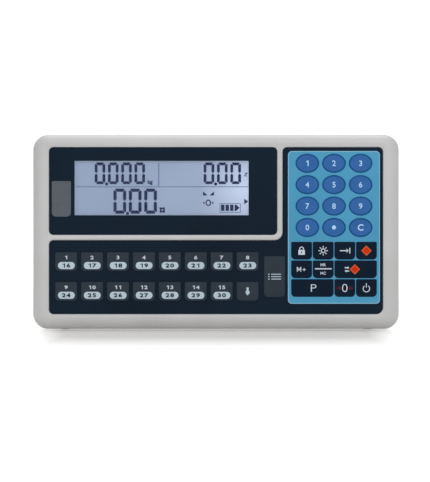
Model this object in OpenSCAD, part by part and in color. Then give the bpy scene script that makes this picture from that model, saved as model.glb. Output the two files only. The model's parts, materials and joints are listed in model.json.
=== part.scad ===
// Weighing indicator: a leaning two-part case with a liquid crystal display, a keypad of
// separate keys, a control board, a battery and rear sockets. Sizes are in millimetres.
// It stands on its feet at z = 0, X runs along the front and the face looks towards -Y.

/* [Case] */
// Width of the front
case_w = 301.2; // [290:1:380]
// Height of the front along the leaning face
case_h = 160; // [150:1:200]
// Depth of the case at its base
case_depth = 66; // [62:1:90]
// Angle that the face leans back from upright
lean = 8; // [5:0.5:10]
// Corner radius of the front
corner_r = 12.5; // [10:0.5:16]
// Radius of the rounded edge round the front
edge_r = 8; // [6:0.5:9]
// Wall thickness of both housings
wall = 2.8; // [2.2:0.1:3.2]
// Depth of the joint line behind the face
split_depth = 16; // [15:0.5:18]
// Radius of the upright rear corners
rear_corner_r = 9; // [5:0.5:12]
// Radius of the top rear edge
rear_top_r = 7; // [4:0.5:10]

/* [Face layout] */
// Bezel width at the sides
side_bezel = 13.2; // [11:0.1:16]
// Bezel width at the top
top_bezel = 10.4; // [10:0.1:14]
// Bezel width at the bottom
bottom_bezel = 12.2; // [11:0.1:16]
// Width of the rib between the display and the keypad
rib_w = 4.3; // [3:0.1:6]
// Height of the keypad below the display
band_h = 60.9; // [58:0.1:66]
// Width of the keypad beside the display
column_w = 82.7; // [80:0.1:90]
// Corner radius of the two sunk panels
panel_r = 3.8; // [3:0.1:5]
// Depth of the sunk panels below the bezel
panel_depth = 1.2; // [1:0.1:1.6]

/* [Display] */
// Panel left of the display window
window_left = 21.1; // [20:0.1:26]
// Panel right of the display window
window_right = 23.6; // [18:0.1:30]
// Panel above the display window
window_top = 11.3; // [8:0.1:14]
// Panel below the display window
window_low = 16.2; // [12:0.1:20]
// Width of the small side window
side_window_w = 15.8; // [12:0.1:16]
// Height of the small side window
side_window_h = 29.3; // [20:0.1:34]

/* [Keys] */
// Travel of every key
key_travel = 0.4; // [0.3:0.05:0.45]
// Height of a key above its panel
key_rise = 0.45; // [0.4:0.05:0.6]
// Width of an oval number key
number_key_w = 19.2; // [16:0.1:20.5]
// Sideways pitch of the number keys
number_pitch = 21.9; // [21.5:0.1:23]
// Space between the rows of number keys
number_gap = 2.0; // [1.4:0.1:4]
// Height of a function key
function_key_h = 14.4; // [13:0.1:14.6]
// Space between function keys
function_gap = 0.95; // [0.95:0.05:1.6]
// Height of a preset key
preset_key_h = 15.4; // [12:0.1:18]
// Pitch of the two rows of preset keys
preset_row_pitch = 24.5; // [21:0.1:26]
// Space between preset keys
preset_gap = 3.4; // [2:0.1:5]
// Width of the tall list key
list_key_w = 17.2; // [12:0.1:18]
// Height of the tall list key
list_key_h = 33.7; // [24:0.1:40]

/* [Battery] */
// Length of the battery
battery_l = 134; // [90:1:134]
// Thickness of the battery
battery_t = 34; // [24:1:34]
// Height of the battery case
battery_h = 60; // [50:1:60]

/* [Rear] */
// Width of the sunk socket bay
bay_w = 110; // [100:1:112]
// Height of the sunk socket bay
bay_h = 36; // [32:1:44]
// Depth of the sunk socket bay
bay_depth = 12; // [11:0.5:14]
// Sideways pitch of the bracket holes
bracket_pitch_x = 100; // [60:1:110]
// Upright pitch of the bracket holes
bracket_pitch_z = 50; // [40:1:54]
// Radius of the bracket screw holes
bracket_hole_r = 2.0; // [1.5:0.1:2.2]
// Height of the feet below the base
foot_h = 2; // [1.5:0.1:3]
// Radius of the feet
foot_r = 7; // [5:0.1:8]

/* [Hidden] */
$fn = 64;
// Overrun of every cut past the face that it goes through
over = 1;
// Slide clearance between neighbouring parts, per side
fit_gap = 0.1;
// Clearance of a panel in its sunk seat, per side
panel_gap = 0.4;

// The leaning face frame: its origin lies under the front edge, and its base_cut is
// the depth at which the flat base meets the face's lower edge
base_cut = 6;
face_z = foot_h + base_cut * sin(lean);
face_y = -case_depth / 2 - edge_r * (sin(lean) + cos(lean) - 1);
rear_y = case_depth / 2;
base_r = 3;
// The hollow's lower rear edge stays this sharp, as the battery lies close to it
hollow_base_r = 0.2;
far = case_depth + case_h;

// The sunk panels, in face coordinates
panel_x0 = -case_w / 2 + side_bezel;
panel_x1 = case_w / 2 - side_bezel;
panel_z0 = bottom_bezel;
panel_z1 = case_h - top_bezel;
column_x0 = panel_x1 - column_w;
band_z1 = panel_z0 + band_h;
display_x1 = column_x0 - rib_w;
display_z0 = band_z1 + rib_w;
low_right_r = 5.8;
inner_turn_r = 6.6;

// Layers behind the face, each given by the depth of its front
display_sheet_t = 0.5;
keypad_sheet_t = 0.4;
lens_t = 1.2;
display_floor = panel_depth + display_sheet_t;
lens_ledge = display_floor + lens_t;
ledge_t = 1.2;
display_back = lens_ledge + ledge_t;
flange_t = 0.4;
flange_top = panel_depth + keypad_sheet_t + fit_gap;
flange_low = flange_top + flange_t;
press_gap = 0.05;
circuit_top = flange_low + key_travel + press_gap;
circuit_t = 0.55;
keypad_floor = circuit_top + circuit_t;
face_floor_t = 2.4;
face_back = keypad_floor + face_floor_t;

// Windows
window_x0 = panel_x0 + window_left;
window_x1 = display_x1 - window_right;
window_z0 = display_z0 + window_low;
window_z1 = panel_z1 - window_top;
lens_margin = 1.2;
sight_margin = 0.3;
side_window_left = 2.3;
side_window_low = 15;
side_window_x0 = panel_x0 + side_window_left;
side_window_z0 = display_z0 + side_window_low;
side_window_low_r = 3.6;
side_window_top_r = 1.2;
side_ledge = 1.0;

// Display stack
glass_margin = 2;
glass_t = 2.8;
glass_front = display_back + fit_gap;
lamp_t = 4;
lamp_front = glass_front + glass_t + fit_gap;
holder_t = 1.6;
holder_back_t = 0.8;
board_front = lamp_front + lamp_t + holder_back_t;
board_t = 1.6;
board_back = board_front + board_t;

// Control board, in face coordinates
board_side = 10;
board_low = 5.4;
board_top = 3.6;
board_x0 = panel_x0 + board_side;
board_x1 = panel_x1 - board_side;
board_z0 = display_z0 - board_low;
board_z1 = panel_z1 - board_top;
board_hole_inset = 6;
holder_x1 = window_x1 + glass_margin + fit_gap + holder_t;
middle_post_gap = 10;
middle_post_x = holder_x1 + middle_post_gap;
BOARD_POSTS = [
    [board_x0 + board_hole_inset, board_z0 + board_hole_inset],
    [middle_post_x, board_z0 + board_hole_inset],
    [board_x1 - board_hole_inset, board_z0 + board_hole_inset],
    [middle_post_x, board_z1 - board_hole_inset],
    [board_x1 - board_hole_inset, board_z1 - board_hole_inset]
];
post_r = 3.2;

// Small screws of the board and the battery clamp
small_shank_r = 1.2;
thread_gap = 0.05;
small_pilot_r = small_shank_r + thread_gap;
small_hole_r = 1.6;
small_head_r = 2.8;
small_head_h = 2;
small_shank_l = 7;

// Case screws
screw_inset_x = 16;
screw_inset_z = 15;
screw_shank_r = 1.45;
screw_pilot_r = 1.5;
screw_hole_r = 2;
screw_head_r = 3.3;
screw_head_h = 2.4;
screw_shank_l = 12;
boss_r = 4.2;
well_r = 3.9;
well_wall = 1.4;
well_floor_t = 2.5;
boss_gap = 0.4;
boss_end = split_depth - boss_gap;
well_front = boss_end + fit_gap;
well_floor = well_front + well_floor_t;
SCREWS = [
    for (x = [-case_w / 2 + screw_inset_x, case_w / 2 - screw_inset_x])
        for (z = [screw_inset_z, case_h - screw_inset_z]) [x, z]
];

// Joint between the housings: a groove line and a tongue inside the front housing
split_gap = 0.3;
tongue_t = 1.2;
tongue_l = 2.5;

// Keys, in face coordinates
key_gap = 0.15;
flange_w = 0.3;
well_gap = 0.15;
key_top_r = 1;
key_low_r = 3.2;
oval_sides = 40;
block_margin = 5.3;
block_w = 70.1;
block_x1 = panel_x1 - block_margin;
block_x0 = block_x1 - block_w;
function_low = 14.4;
function_z0 = panel_z0 + function_low;
function_key_w = (block_w - 3 * function_gap) / 4;
function_z1 = function_z0 + 3 * function_key_h + 2 * function_gap;
number_low_gap = 4.1;
number_top_margin = 5.4;
number_z0 = function_z1 + number_low_gap;
number_row_pitch = (panel_z1 - number_top_margin - number_z0 + number_gap) / 4;
number_key_h = number_row_pitch - number_gap;
list_gap = 5.3;
list_low = 14.1;
list_x1 = block_x0 - list_gap;
list_x0 = list_x1 - list_key_w;
list_z0 = panel_z0 + list_low;
preset_margin = 5.15;
preset_end_gap = 4.55;
preset_low = 18.85;
preset_x0 = panel_x0 + preset_margin;
preset_x1 = list_x0 - preset_end_gap;
preset_pitch = (preset_x1 - preset_x0 + preset_gap) / 8;
preset_key_w = preset_pitch - preset_gap;

NUMBER_NAMES = [
    ["key_0", "key_point", "key_clear"],
    ["key_7", "key_8", "key_9"],
    ["key_4", "key_5", "key_6"],
    ["key_1", "key_2", "key_3"]
];
// Name, first column, number of columns and row, counted from the lower left
FUNCTION_PLACES = [
    ["key_price", 0, 2, 0],
    ["key_zero", 2, 1, 0],
    ["key_power", 3, 1, 0],
    ["key_memory_add", 0, 1, 1],
    ["key_memory_recall", 1, 1, 1],
    ["key_tare", 2, 2, 1],
    ["key_fixed", 0, 1, 2],
    ["key_light", 1, 1, 2],
    ["key_manual", 2, 1, 2],
    ["key_total", 3, 1, 2]
];
// Each key: name, shape, centre x, centre z, width, height
NUMBER_KEYS = [
    for (row = [0:3]) for (column = [0:2]) [
        NUMBER_NAMES[row][column], "oval",
        (block_x0 + block_x1) / 2 + (column - 1) * number_pitch,
        number_z0 + row * number_row_pitch + number_key_h / 2,
        number_key_w, number_key_h
    ]
];
FUNCTION_KEYS = [
    for (place = FUNCTION_PLACES)
        let (step = function_key_w + function_gap, w = place[2] * step - function_gap) [
            place[0], "pad",
            block_x0 + place[1] * step + w / 2,
            function_z0 + place[3] * (function_key_h + function_gap) + function_key_h / 2,
            w, function_key_h
        ]
];
PRESET_KEYS = [
    for (i = [0:15])
        let (row = i < 8 ? 1 : 0, column = i % 8) [
            i < 15 ? str("preset_key_", i + 1) : "key_shift", "pad",
            preset_x0 + column * preset_pitch + preset_key_w / 2,
            panel_z0 + preset_low + row * preset_row_pitch,
            preset_key_w, preset_key_h
        ]
];
LIST_KEYS = [
    ["key_list", "pad", (list_x0 + list_x1) / 2, list_z0 + list_key_h / 2, list_key_w, list_key_h]
];
KEYS = concat(NUMBER_KEYS, FUNCTION_KEYS, PRESET_KEYS, LIST_KEYS);

// Membrane tail and its connector on the board
tail_w = 18;
tail_t = 0.3;
tail_side = 20;
tail_drop = 6;
tail_lift = 1.4;
socket_side = 2;
tail_x = column_x0 + tail_side;
tail_z = board_z0 - tail_drop;
tail_depth = board_front - tail_lift;
socket_l = tail_w + 2 * socket_side;
socket_h = 5;
socket_t = 2.6;

// Socket bay, in case coordinates
bay_side = 28;
bay_low = 10;
bay_wall = 2.5;
bay_r = 4;
bay_x1 = case_w / 2 - bay_side;
bay_x0 = bay_x1 - bay_w;
bay_z0 = foot_h + bay_low;
bay_z1 = bay_z0 + bay_h;
bay_z = (bay_z0 + bay_z1) / 2;
bay_y = rear_y - bay_depth;
power_side = 18;
serial_step = 35;
cell_step = 37;
power_x = bay_x0 + power_side;
serial_x = power_x + serial_step;
cell_x = serial_x + cell_step;

// Sockets
power_nut_r = 6;
power_nut_t = 2;
power_body_r = 4.5;
power_body_l = 10;
power_bore_r = 2.8;
power_pin_r = 1.05;
serial_plate = [30.8, 1, 12.5];
serial_shell = [17, 9];
serial_shell_l = 5.8;
serial_body = [19.4, 10.6];
serial_body_l = 8;
serial_slant = 1.3;
serial_post_pitch = 25;
serial_post_r = 2.5;
serial_post_l = 4.8;
serial_pin_r = 0.55;
serial_pin_pitch = 2.77;
serial_row_pitch = 2.84;
cell_flange_r = 10;
cell_flange_t = 2;
cell_body_r = 7;
cell_body_l = 9;
cell_shell_l = 5.5;
cell_bore_r = 5.6;
cell_bore_l = 2.5;
cell_pin_r = 0.6;
cell_pin_ring_r = 3.2;
cell_pins = 5;

// Bracket inserts, in case coordinates
bracket_z = 100;
insert_r = 3;
insert_l = 8;
insert_boss_r = 5.5;
insert_boss_l = 10;
INSERTS = [
    for (x = [-1, 1]) for (z = [-1, 1])
        [x * bracket_pitch_x / 2, bracket_z + z * bracket_pitch_z / 2]
];

// Bare plate recess on the rear
plate_size = [64, 30];
plate_r = 2;
plate_depth = 0.4;

// Feet, in case coordinates
foot_seat = 1.2;
foot_side = 26;
foot_front = 24.5;
foot_back = 12;
FEET = [
    for (x = [-case_w / 2 + foot_side, case_w / 2 - foot_side])
        for (y = [-case_depth / 2 + foot_front, rear_y - foot_back]) [x, y]
];

// Battery and its clamp, in case coordinates
battery_side = 24;
battery_gap = 0.3;
battery_edge_r = 2;
battery_x0 = -case_w / 2 + battery_side;
battery_y1 = rear_y - wall - battery_gap;
battery_y0 = battery_y1 - battery_t;
battery_z0 = foot_h + wall;
battery_z1 = battery_z0 + battery_h;
terminal_w = 4.8;
terminal_t = 0.8;
terminal_h = 6;
terminal_side = 8;
terminal_pitch = 16;
TERMINALS = [for (i = [0, 1]) battery_x0 + terminal_side + i * terminal_pitch];
clamp_w = 20;
clamp_t = 1.2;
clamp_side = 46;
clamp_x = battery_x0 + clamp_side;
clamp_foot_l = 8.5;
clamp_foot_h = 4;
clamp_back_h = 12;
clamp_back_l = 4;
clamp_screw_y = battery_y0 - battery_gap - clamp_t - clamp_foot_l / 2;
clamp_screw_z = battery_z1 + battery_gap + clamp_t + clamp_back_h / 2;
clamp_post_r = 3.5;

// Parts on the board, in face coordinates
part_x0 = middle_post_x;
part_top = 30;
part_row_z = board_z1 - part_top;
processor_side = 14;
memory_side = 34;
supply_side = 52;
chip_t = 1.8;
processor_size = [14, chip_t, 14];
memory_size = [10, chip_t, 6];
memory_pitch = 10;
crystal_size = [10, 3.5, 4];
crystal_rise = 14;
heat_sink_size = [16, 10, 12];
heat_sink_rise = 12;
buzzer_r = 6.5;
buzzer_h = 9;
buzzer_rise = 16;
capacitor_r = 5;
capacitor_h = 12;
capacitor_pitch = 12;
capacitor_drop = 6;
lamp_r = 2.5;
lamp_side = 4;
header_size = [10, 7, 6];
header_side = 12;
header_low = 14;
header_pitch = 15;
header_z = board_z0 + header_low;
HEADERS = [for (i = [0:3]) part_x0 + header_side + i * header_pitch];

// Wires
wire_r = 0.9;
wire_fn = 8;
wire_turn = 7;
wire_step = 4;
wire_pitch = 3;

// Places its children in the leaning face frame: X right, Y into the case, Z up the face
module in_face() {
    translate([0, face_y, face_z]) rotate([-lean, 0, 0]) children();
}

// Case coordinates [y, z] of a point on the face frame, given its height and depth
function face_point(z, depth) = [
    face_y + z * sin(lean) + depth * cos(lean),
    face_z + z * cos(lean) - depth * sin(lean)
];

// Tangent points and centre of the arc that rounds corner p between neighbours a and b
function corner_arc(p, a, b, r) =
    let (
        u = (a - p) / norm(a - p),
        v = (b - p) / norm(b - p),
        half = acos(u * v) / 2
    ) [p + u * r / tan(half), p + v * r / tan(half), p + (u + v) / norm(u + v) * r / sin(half)];

// A convex outline with one radius per corner
module rounded_outline(points, radii) {
    n = len(points);
    arcs = [for (i = [0:n - 1])
        radii[i] > 0 ? corner_arc(points[i], points[(i + n - 1) % n], points[(i + 1) % n], radii[i])
                     : [points[i], points[i], points[i]]];
    polygon([for (i = [0:n - 1]) each radii[i] > 0 ? [arcs[i][0], arcs[i][1]] : [points[i]]]);
    for (i = [0:n - 1]) if (radii[i] > 0) translate(arcs[i][2]) circle(radii[i]);
}

// A rectangle between two corners, with radii from its lower left corner round to the right
module rounded_box(low, high, radii) {
    rounded_outline([low, [high[0], low[1]], high, [low[0], high[1]]], radii);
}

// Extrudes a drawing of the face from one depth to another
module face_slab(front, back) {
    translate([0, back, 0]) rotate([90, 0, 0]) linear_extrude(back - front) children();
}

// A cylinder along the depth of the face frame
module face_rod(x, z, r, front, back) {
    translate([x, front, z]) rotate([-90, 0, 0]) cylinder(r = r, h = back - front);
}

// The outer form: rounded round its front edge, straight behind it
module pillow() {
    w = case_w / 2;
    for (x = [-w + corner_r, w - corner_r], z = [corner_r, case_h - corner_r])
        translate([x, 0, z]) rotate([-90, 0, 0]) rotate_extrude() intersection() {
            rounded_box([0, 0], [corner_r, far], [0, edge_r, 0, 0]);
            square([corner_r, far]);
        }
    translate([-w + corner_r, 0, 0]) rotate([90, 0, 90]) linear_extrude(case_w - 2 * corner_r)
        rounded_box([0, 0], [far, case_h], [edge_r, 0, 0, edge_r]);
    translate([0, 0, corner_r]) linear_extrude(case_h - 2 * corner_r)
        rounded_box([-w, 0], [w, far], [edge_r, edge_r, 0, 0]);
}

// Space inside the base, rear and top planes of the case, moved inwards by inset
module stand_space(inset) {
    rear = rear_y - inset;
    top = face_point(case_h - inset, 0);
    drop = tan(lean);
    translate([-far, 0, 0]) rotate([90, 0, 90]) linear_extrude(2 * far)
        rounded_outline([
            [-far, foot_h + inset],
            [rear, foot_h + inset],
            [rear, top[1] - (rear - top[0]) * drop],
            [-far, top[1] + (far + top[0]) * drop]
        ], [0, low_rear_r(inset), rear_top_r - inset, 0]);
}

// Radius of the case's lower rear edge, moved inwards by inset
function low_rear_r(inset) = inset > 0 ? max(0, min(base_r - inset, hollow_base_r)) : base_r;

module plan_space(inset) {
    w = case_w / 2 - inset;
    linear_extrude(far)
        rounded_box([-w, -far], [w, rear_y - inset],
            [0, 0, rear_corner_r - inset, rear_corner_r - inset]);
}

module outer_form() {
    intersection() {
        in_face() pillow();
        stand_space(0);
        plan_space(0);
    }
}

// The hollow of the case, behind a given depth of the face
module inner_form(inset, front) {
    w = case_w / 2 - inset;
    r = corner_r - inset;
    intersection() {
        in_face() face_slab(front, far) rounded_box([-w, inset], [w, case_h - inset], [r, r, r, r]);
        stand_space(inset);
        plan_space(inset);
    }
}

// The outline of the display panel, moved inwards by inset
module display_outline(inset) {
    r = panel_r - inset;
    rounded_box([panel_x0 + inset, display_z0 + inset], [display_x1 - inset, panel_z1 - inset],
        [r, r + fit_gap, r + fit_gap, r]);
}

// The outline of the angled keypad panel, moved inwards by inset
module keypad_outline(inset) {
    r = panel_r - inset;
    turn = inner_turn_r + inset;
    rounded_box([panel_x0 + inset, panel_z0 + inset], [panel_x1 - inset, band_z1 - inset],
        [r, low_right_r - inset, 0, r]);
    rounded_box([column_x0 + inset, panel_z0 + inset], [panel_x1 - inset, panel_z1 - inset],
        [0, low_right_r - inset, r, r]);
    difference() {
        translate([column_x0 + inset - turn, band_z1 - inset - over])
            square([turn + over, turn + over]);
        translate([column_x0 + inset - turn, band_z1 - inset + turn]) circle(turn);
    }
}

module window_outline(margin) {
    translate([window_x0 - margin, window_z0 - margin])
        square([window_x1 - window_x0 + 2 * margin, window_z1 - window_z0 + 2 * margin]);
}

module side_window_outline(inset) {
    top = side_window_top_r - inset > 0 ? side_window_top_r - inset : 0;
    low = side_window_low_r - inset;
    rounded_box([side_window_x0 + inset, side_window_z0 + inset],
        [side_window_x0 + side_window_w - inset, side_window_z0 + side_window_h - inset],
        [low, low, top, top]);
}

// The outline of a key, grown by margin on every side
module key_outline(key, margin) {
    w = key[4] / 2 + margin;
    h = key[5] / 2 + margin;
    translate([key[2], key[3]])
        if (key[1] == "oval")
            polygon([for (i = [0:oval_sides - 1]) let (a = 360 * i / oval_sides) [w * cos(a), h * sin(a)]]);
        else
            rounded_box([-w, -h], [w, h],
                [key_low_r + margin, key_low_r + margin, key_top_r + margin, key_top_r + margin]);
}

module front_housing() {
    color("gainsboro") difference() {
        union() {
            difference() {
                intersection() {
                    outer_form();
                    in_face() translate([-far, -over, -far])
                        cube([2 * far, split_depth + over, 2 * far]);
                }
                inner_form(wall, face_back);
            }
            in_face() {
                for (place = SCREWS)
                    face_rod(place[0], place[1], boss_r, face_back - over, boss_end);
                for (place = BOARD_POSTS)
                    face_rod(place[0], place[1], post_r, face_back - over, board_front);
            }
        }
        in_face() {
            face_slab(-over, display_floor) display_outline(0);
            face_slab(-over, keypad_floor) keypad_outline(0);
            face_slab(display_floor - over, lens_ledge) window_outline(lens_margin + fit_gap);
            face_slab(display_floor, far) window_outline(sight_margin);
            face_slab(display_floor, face_back + over) side_window_outline(side_ledge);
            face_slab(display_back, face_back + over)
                window_outline(glass_margin + 2 * fit_gap + holder_t);
            face_slab(keypad_floor, face_back + over)
                translate([tail_x - tail_w / 2 - over, tail_z - over])
                    square([tail_w + 2 * over, tail_t + 2 * over]);
            for (place = SCREWS) face_rod(place[0], place[1], screw_pilot_r, face_back, far);
            for (place = BOARD_POSTS) face_rod(place[0], place[1], small_pilot_r, face_back, far);
        }
    }
}

// The bay's box, moved outwards by margin, from a depth before the rear
module bay_box(margin, depth) {
    translate([0, rear_y + over, 0]) rotate([90, 0, 0]) linear_extrude(depth + over)
        rounded_box([bay_x0 - margin, bay_z0 - margin], [bay_x1 + margin, bay_z1 + margin],
            [bay_r + margin, bay_r + margin, bay_r + margin, bay_r + margin]);
}

// A cylinder along Y in case coordinates, from y0 to y1
module rear_rod(x, z, r, y0, y1) {
    translate([x, y0, z]) rotate([-90, 0, 0]) cylinder(r = r, h = y1 - y0);
}

module rear_shell() {
    difference() {
        intersection() {
            outer_form();
            in_face() translate([-far, split_depth + split_gap, -far]) cube([2 * far, far, 2 * far]);
        }
        inner_form(wall, split_depth);
    }
    // Tongue round the joint, inside the front housing
    intersection() {
        difference() {
            inner_form(wall + fit_gap, split_depth - tongue_l);
            inner_form(wall + fit_gap + tongue_t, split_depth - 2 * tongue_l);
        }
        in_face() translate([-far, split_depth - tongue_l, -far])
            cube([2 * far, tongue_l + split_gap + wall, 2 * far]);
    }
    // Seat that joins the tongue to the wall
    intersection() {
        difference() {
            outer_form();
            inner_form(wall + fit_gap + tongue_t, split_depth - tongue_l);
        }
        in_face() translate([-far, split_depth + split_gap, -far]) cube([2 * far, wall, 2 * far]);
    }
}

module rear_housing() {
    color("gainsboro") difference() {
        intersection() {
            outer_form();
            union() {
                rear_shell();
                in_face() for (place = SCREWS)
                    face_rod(place[0], place[1], well_r + well_wall, well_front, far);
                bay_box(bay_wall, bay_depth + bay_wall);
                for (place = INSERTS)
                    rear_rod(place[0], place[1], insert_boss_r, rear_y - wall - insert_boss_l, rear_y);
                translate([clamp_x, clamp_screw_y, foot_h])
                    cylinder(r = clamp_post_r, h = wall + clamp_foot_h);
                rear_rod(clamp_x, clamp_screw_z, clamp_post_r, rear_y - wall - clamp_back_l, rear_y);
            }
        }
        in_face() for (place = SCREWS) {
            face_rod(place[0], place[1], well_r, well_floor, far);
            face_rod(place[0], place[1], screw_hole_r, 0, far);
        }
        bay_box(0, bay_depth);
        rear_rod(power_x, bay_z, power_body_r + fit_gap, 0, rear_y);
        rear_rod(cell_x, bay_z, cell_body_r + fit_gap, 0, rear_y);
        translate([0, rear_y, 0]) rotate([90, 0, 0]) linear_extrude(bay_depth + 2 * bay_wall)
            serial_outline(serial_body, fit_gap);
        for (x = [-1, 1])
            rear_rod(serial_x + x * serial_post_pitch / 2, bay_z, small_hole_r, 0, rear_y);
        for (place = INSERTS)
            rear_rod(place[0], place[1], insert_r + fit_gap / 2, rear_y - insert_l - over, rear_y + over);
        for (place = FEET)
            translate([place[0], place[1], 0]) cylinder(r = foot_r + fit_gap, h = foot_h + foot_seat);
        translate([clamp_x, clamp_screw_y, foot_h + wall]) cylinder(r = small_pilot_r, h = far);
        rear_rod(clamp_x, clamp_screw_z, small_pilot_r, 0, rear_y - wall);
        translate([0, rear_y + over, 0]) rotate([90, 0, 0]) linear_extrude(plate_depth + over)
            rounded_box([-plate_size[0] / 2, bracket_z - plate_size[1] / 2],
                [plate_size[0] / 2, bracket_z + plate_size[1] / 2], [plate_r, plate_r, plate_r, plate_r]);
    }
}

module display_overlay() {
    color("midnightblue") in_face() face_slab(panel_depth, display_floor) difference() {
        display_outline(panel_gap);
        window_outline(0);
        side_window_outline(0);
    }
}

module lcd_window() {
    color("lightsteelblue", 0.4) in_face() face_slab(display_floor, lens_ledge) window_outline(lens_margin);
}

module side_window() {
    color("dimgray", 0.7) in_face() face_slab(panel_depth, display_floor) side_window_outline(fit_gap);
}

module keypad_overlay() {
    color("midnightblue") in_face() face_slab(panel_depth, panel_depth + keypad_sheet_t) difference() {
        keypad_outline(panel_gap);
        for (key = KEYS) key_outline(key, key_gap);
    }
}

// Circuit layers, the spacer that frames every key, and the tail to the board
module keypad_membrane() {
    color("silver") in_face() {
        face_slab(circuit_top, keypad_floor) keypad_outline(panel_gap);
        face_slab(panel_depth + keypad_sheet_t, circuit_top) difference() {
            keypad_outline(panel_gap);
            for (key = KEYS) key_outline(key, flange_w + well_gap);
        }
        translate([tail_x - tail_w / 2, keypad_floor, tail_z])
            cube([tail_w, tail_depth + tail_t - keypad_floor, tail_t]);
        translate([tail_x - tail_w / 2, tail_depth, tail_z])
            cube([tail_w, tail_t, board_z0 + over - tail_z]);
    }
}

// One key: its pad comes through the overlay, and its flange is held under it
module key_cap(key) {
    color(key[1] == "oval" ? "steelblue" : key[2] > block_x0 ? "midnightblue" : "dimgray")
        in_face() {
            face_slab(panel_depth - key_rise, flange_top) key_outline(key, 0);
            face_slab(flange_top, flange_low) key_outline(key, flange_w);
        }
}

module lcd_glass() {
    color("lightblue") in_face() face_slab(glass_front, glass_front + glass_t) window_outline(glass_margin);
}

// White light box whose rim holds the glass
module lcd_backlight() {
    color("white") in_face() {
        face_slab(lamp_front, board_front) window_outline(glass_margin);
        face_slab(glass_front, board_front) difference() {
            window_outline(glass_margin + fit_gap + holder_t);
            window_outline(glass_margin + fit_gap);
        }
        face_slab(board_front - holder_back_t, board_front)
            window_outline(glass_margin + fit_gap + holder_t);
    }
}

module main_board() {
    color("darkgreen") in_face() difference() {
        face_slab(board_front, board_back)
            translate([board_x0, board_z0]) square([board_x1 - board_x0, board_z1 - board_z0]);
        for (place = BOARD_POSTS) face_rod(place[0], place[1], small_hole_r, 0, far);
    }
}

// A block that stands on the back of the board, centred on x and z
module board_block(x, z, size) {
    translate([x - size[0] / 2, board_back, z - size[2] / 2]) cube(size);
}

module board_components() {
    color("dimgray") in_face() {
        board_block(part_x0 + processor_side, part_row_z, processor_size);
        for (i = [0, 1]) board_block(part_x0 + memory_side, part_row_z - i * memory_pitch, memory_size);
        board_block(part_x0 + processor_side, part_row_z + crystal_rise, crystal_size);
        board_block(part_x0 + supply_side, part_row_z + heat_sink_rise, heat_sink_size);
        board_can(part_x0 + memory_side, part_row_z + buzzer_rise, buzzer_r, buzzer_h);
        for (i = [0, 1])
            board_can(part_x0 + supply_side + i * capacitor_pitch, part_row_z - capacitor_drop,
                capacitor_r, capacitor_h);
        // Wire headers along the lower edge
        for (x = HEADERS) board_block(x, header_z, header_size);
        // Front side: the membrane's connector and the lamp behind the side window
        translate([tail_x - socket_l / 2, board_front - socket_t, board_z0 + over])
            cube([socket_l, socket_t, socket_h]);
        face_rod(board_x0 + lamp_side, side_window_z0 + side_window_h / 2, lamp_r,
            face_back + over, board_front);
    }
}

// A round part that stands on the back of the board
module board_can(x, z, r, h) {
    face_rod(x, z, r, board_back, board_back + h);
}

module battery() {
    color("darkslategray") {
        translate([battery_x0, battery_y0, battery_z0]) linear_extrude(battery_h)
            rounded_box([0, 0], [battery_l, battery_t],
                [battery_edge_r, battery_edge_r, battery_edge_r, battery_edge_r]);
        for (x = TERMINALS)
            translate([x, (battery_y0 + battery_y1) / 2, battery_z1])
                cube([terminal_w, terminal_t, terminal_h]);
    }
}

module battery_clamp() {
    y0 = battery_y0 - battery_gap;
    z1 = battery_z1 + battery_gap;
    foot_z = foot_h + wall + clamp_foot_h;
    back_y = rear_y - wall - clamp_back_l;
    color("lightsteelblue") difference() {
        translate([clamp_x - clamp_w / 2, 0, 0]) rotate([90, 0, 90]) linear_extrude(clamp_w)
            polygon([
                [y0 - clamp_t - clamp_foot_l, foot_z],
                [y0, foot_z],
                [y0, z1],
                [back_y, z1],
                [back_y, z1 + clamp_t + clamp_back_h],
                [back_y - clamp_t, z1 + clamp_t + clamp_back_h],
                [back_y - clamp_t, z1 + clamp_t],
                [y0 - clamp_t, z1 + clamp_t],
                [y0 - clamp_t, foot_z + clamp_t],
                [y0 - clamp_t - clamp_foot_l, foot_z + clamp_t]
            ]);
        translate([clamp_x, clamp_screw_y, 0]) cylinder(r = small_hole_r, h = battery_z1);
        rear_rod(clamp_x, clamp_screw_z, small_hole_r, 0, rear_y);
    }
}

// A wire through its points, round at its ends and turns
module wire(points) {
    for (i = [0:len(points) - 2]) hull() {
        translate(points[i]) sphere(r = wire_r, $fn = wire_fn);
        translate(points[i + 1]) sphere(r = wire_r, $fn = wire_fn);
    }
}

// Case coordinates of the end of header i, one wire radius behind it
function header_end(i, dx) =
    let (p = face_point(header_z, board_back + header_size[1] + wire_r + fit_gap))
        [HEADERS[i] + dx, p[0], p[1]];

module wiring_loom() {
    back = wire_r + fit_gap;
    terminal_y = (battery_y0 + battery_y1) / 2 + terminal_t / 2;
    color("firebrick") {
        // Battery leads
        for (i = [0, 1]) {
            end = header_end(0, wire_pitch * (i - 1 / 2));
            turn_z = end[2] + wire_turn + i * wire_step;
            x = TERMINALS[i] + terminal_w / 2;
            wire([
                [x, terminal_y, battery_z1 + terminal_h + back],
                [x, terminal_y, turn_z],
                [end[0], terminal_y, turn_z],
                end
            ]);
        }
        // Leads of the three sockets
        wire([[power_x, bay_y - power_body_l - back, bay_z], header_end(1, 0)]);
        wire([[serial_x, bay_y - serial_body_l - back, bay_z], header_end(2, 0)]);
        wire([[cell_x, bay_y - cell_body_l - back, bay_z], header_end(3, 0)]);
    }
}

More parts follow.
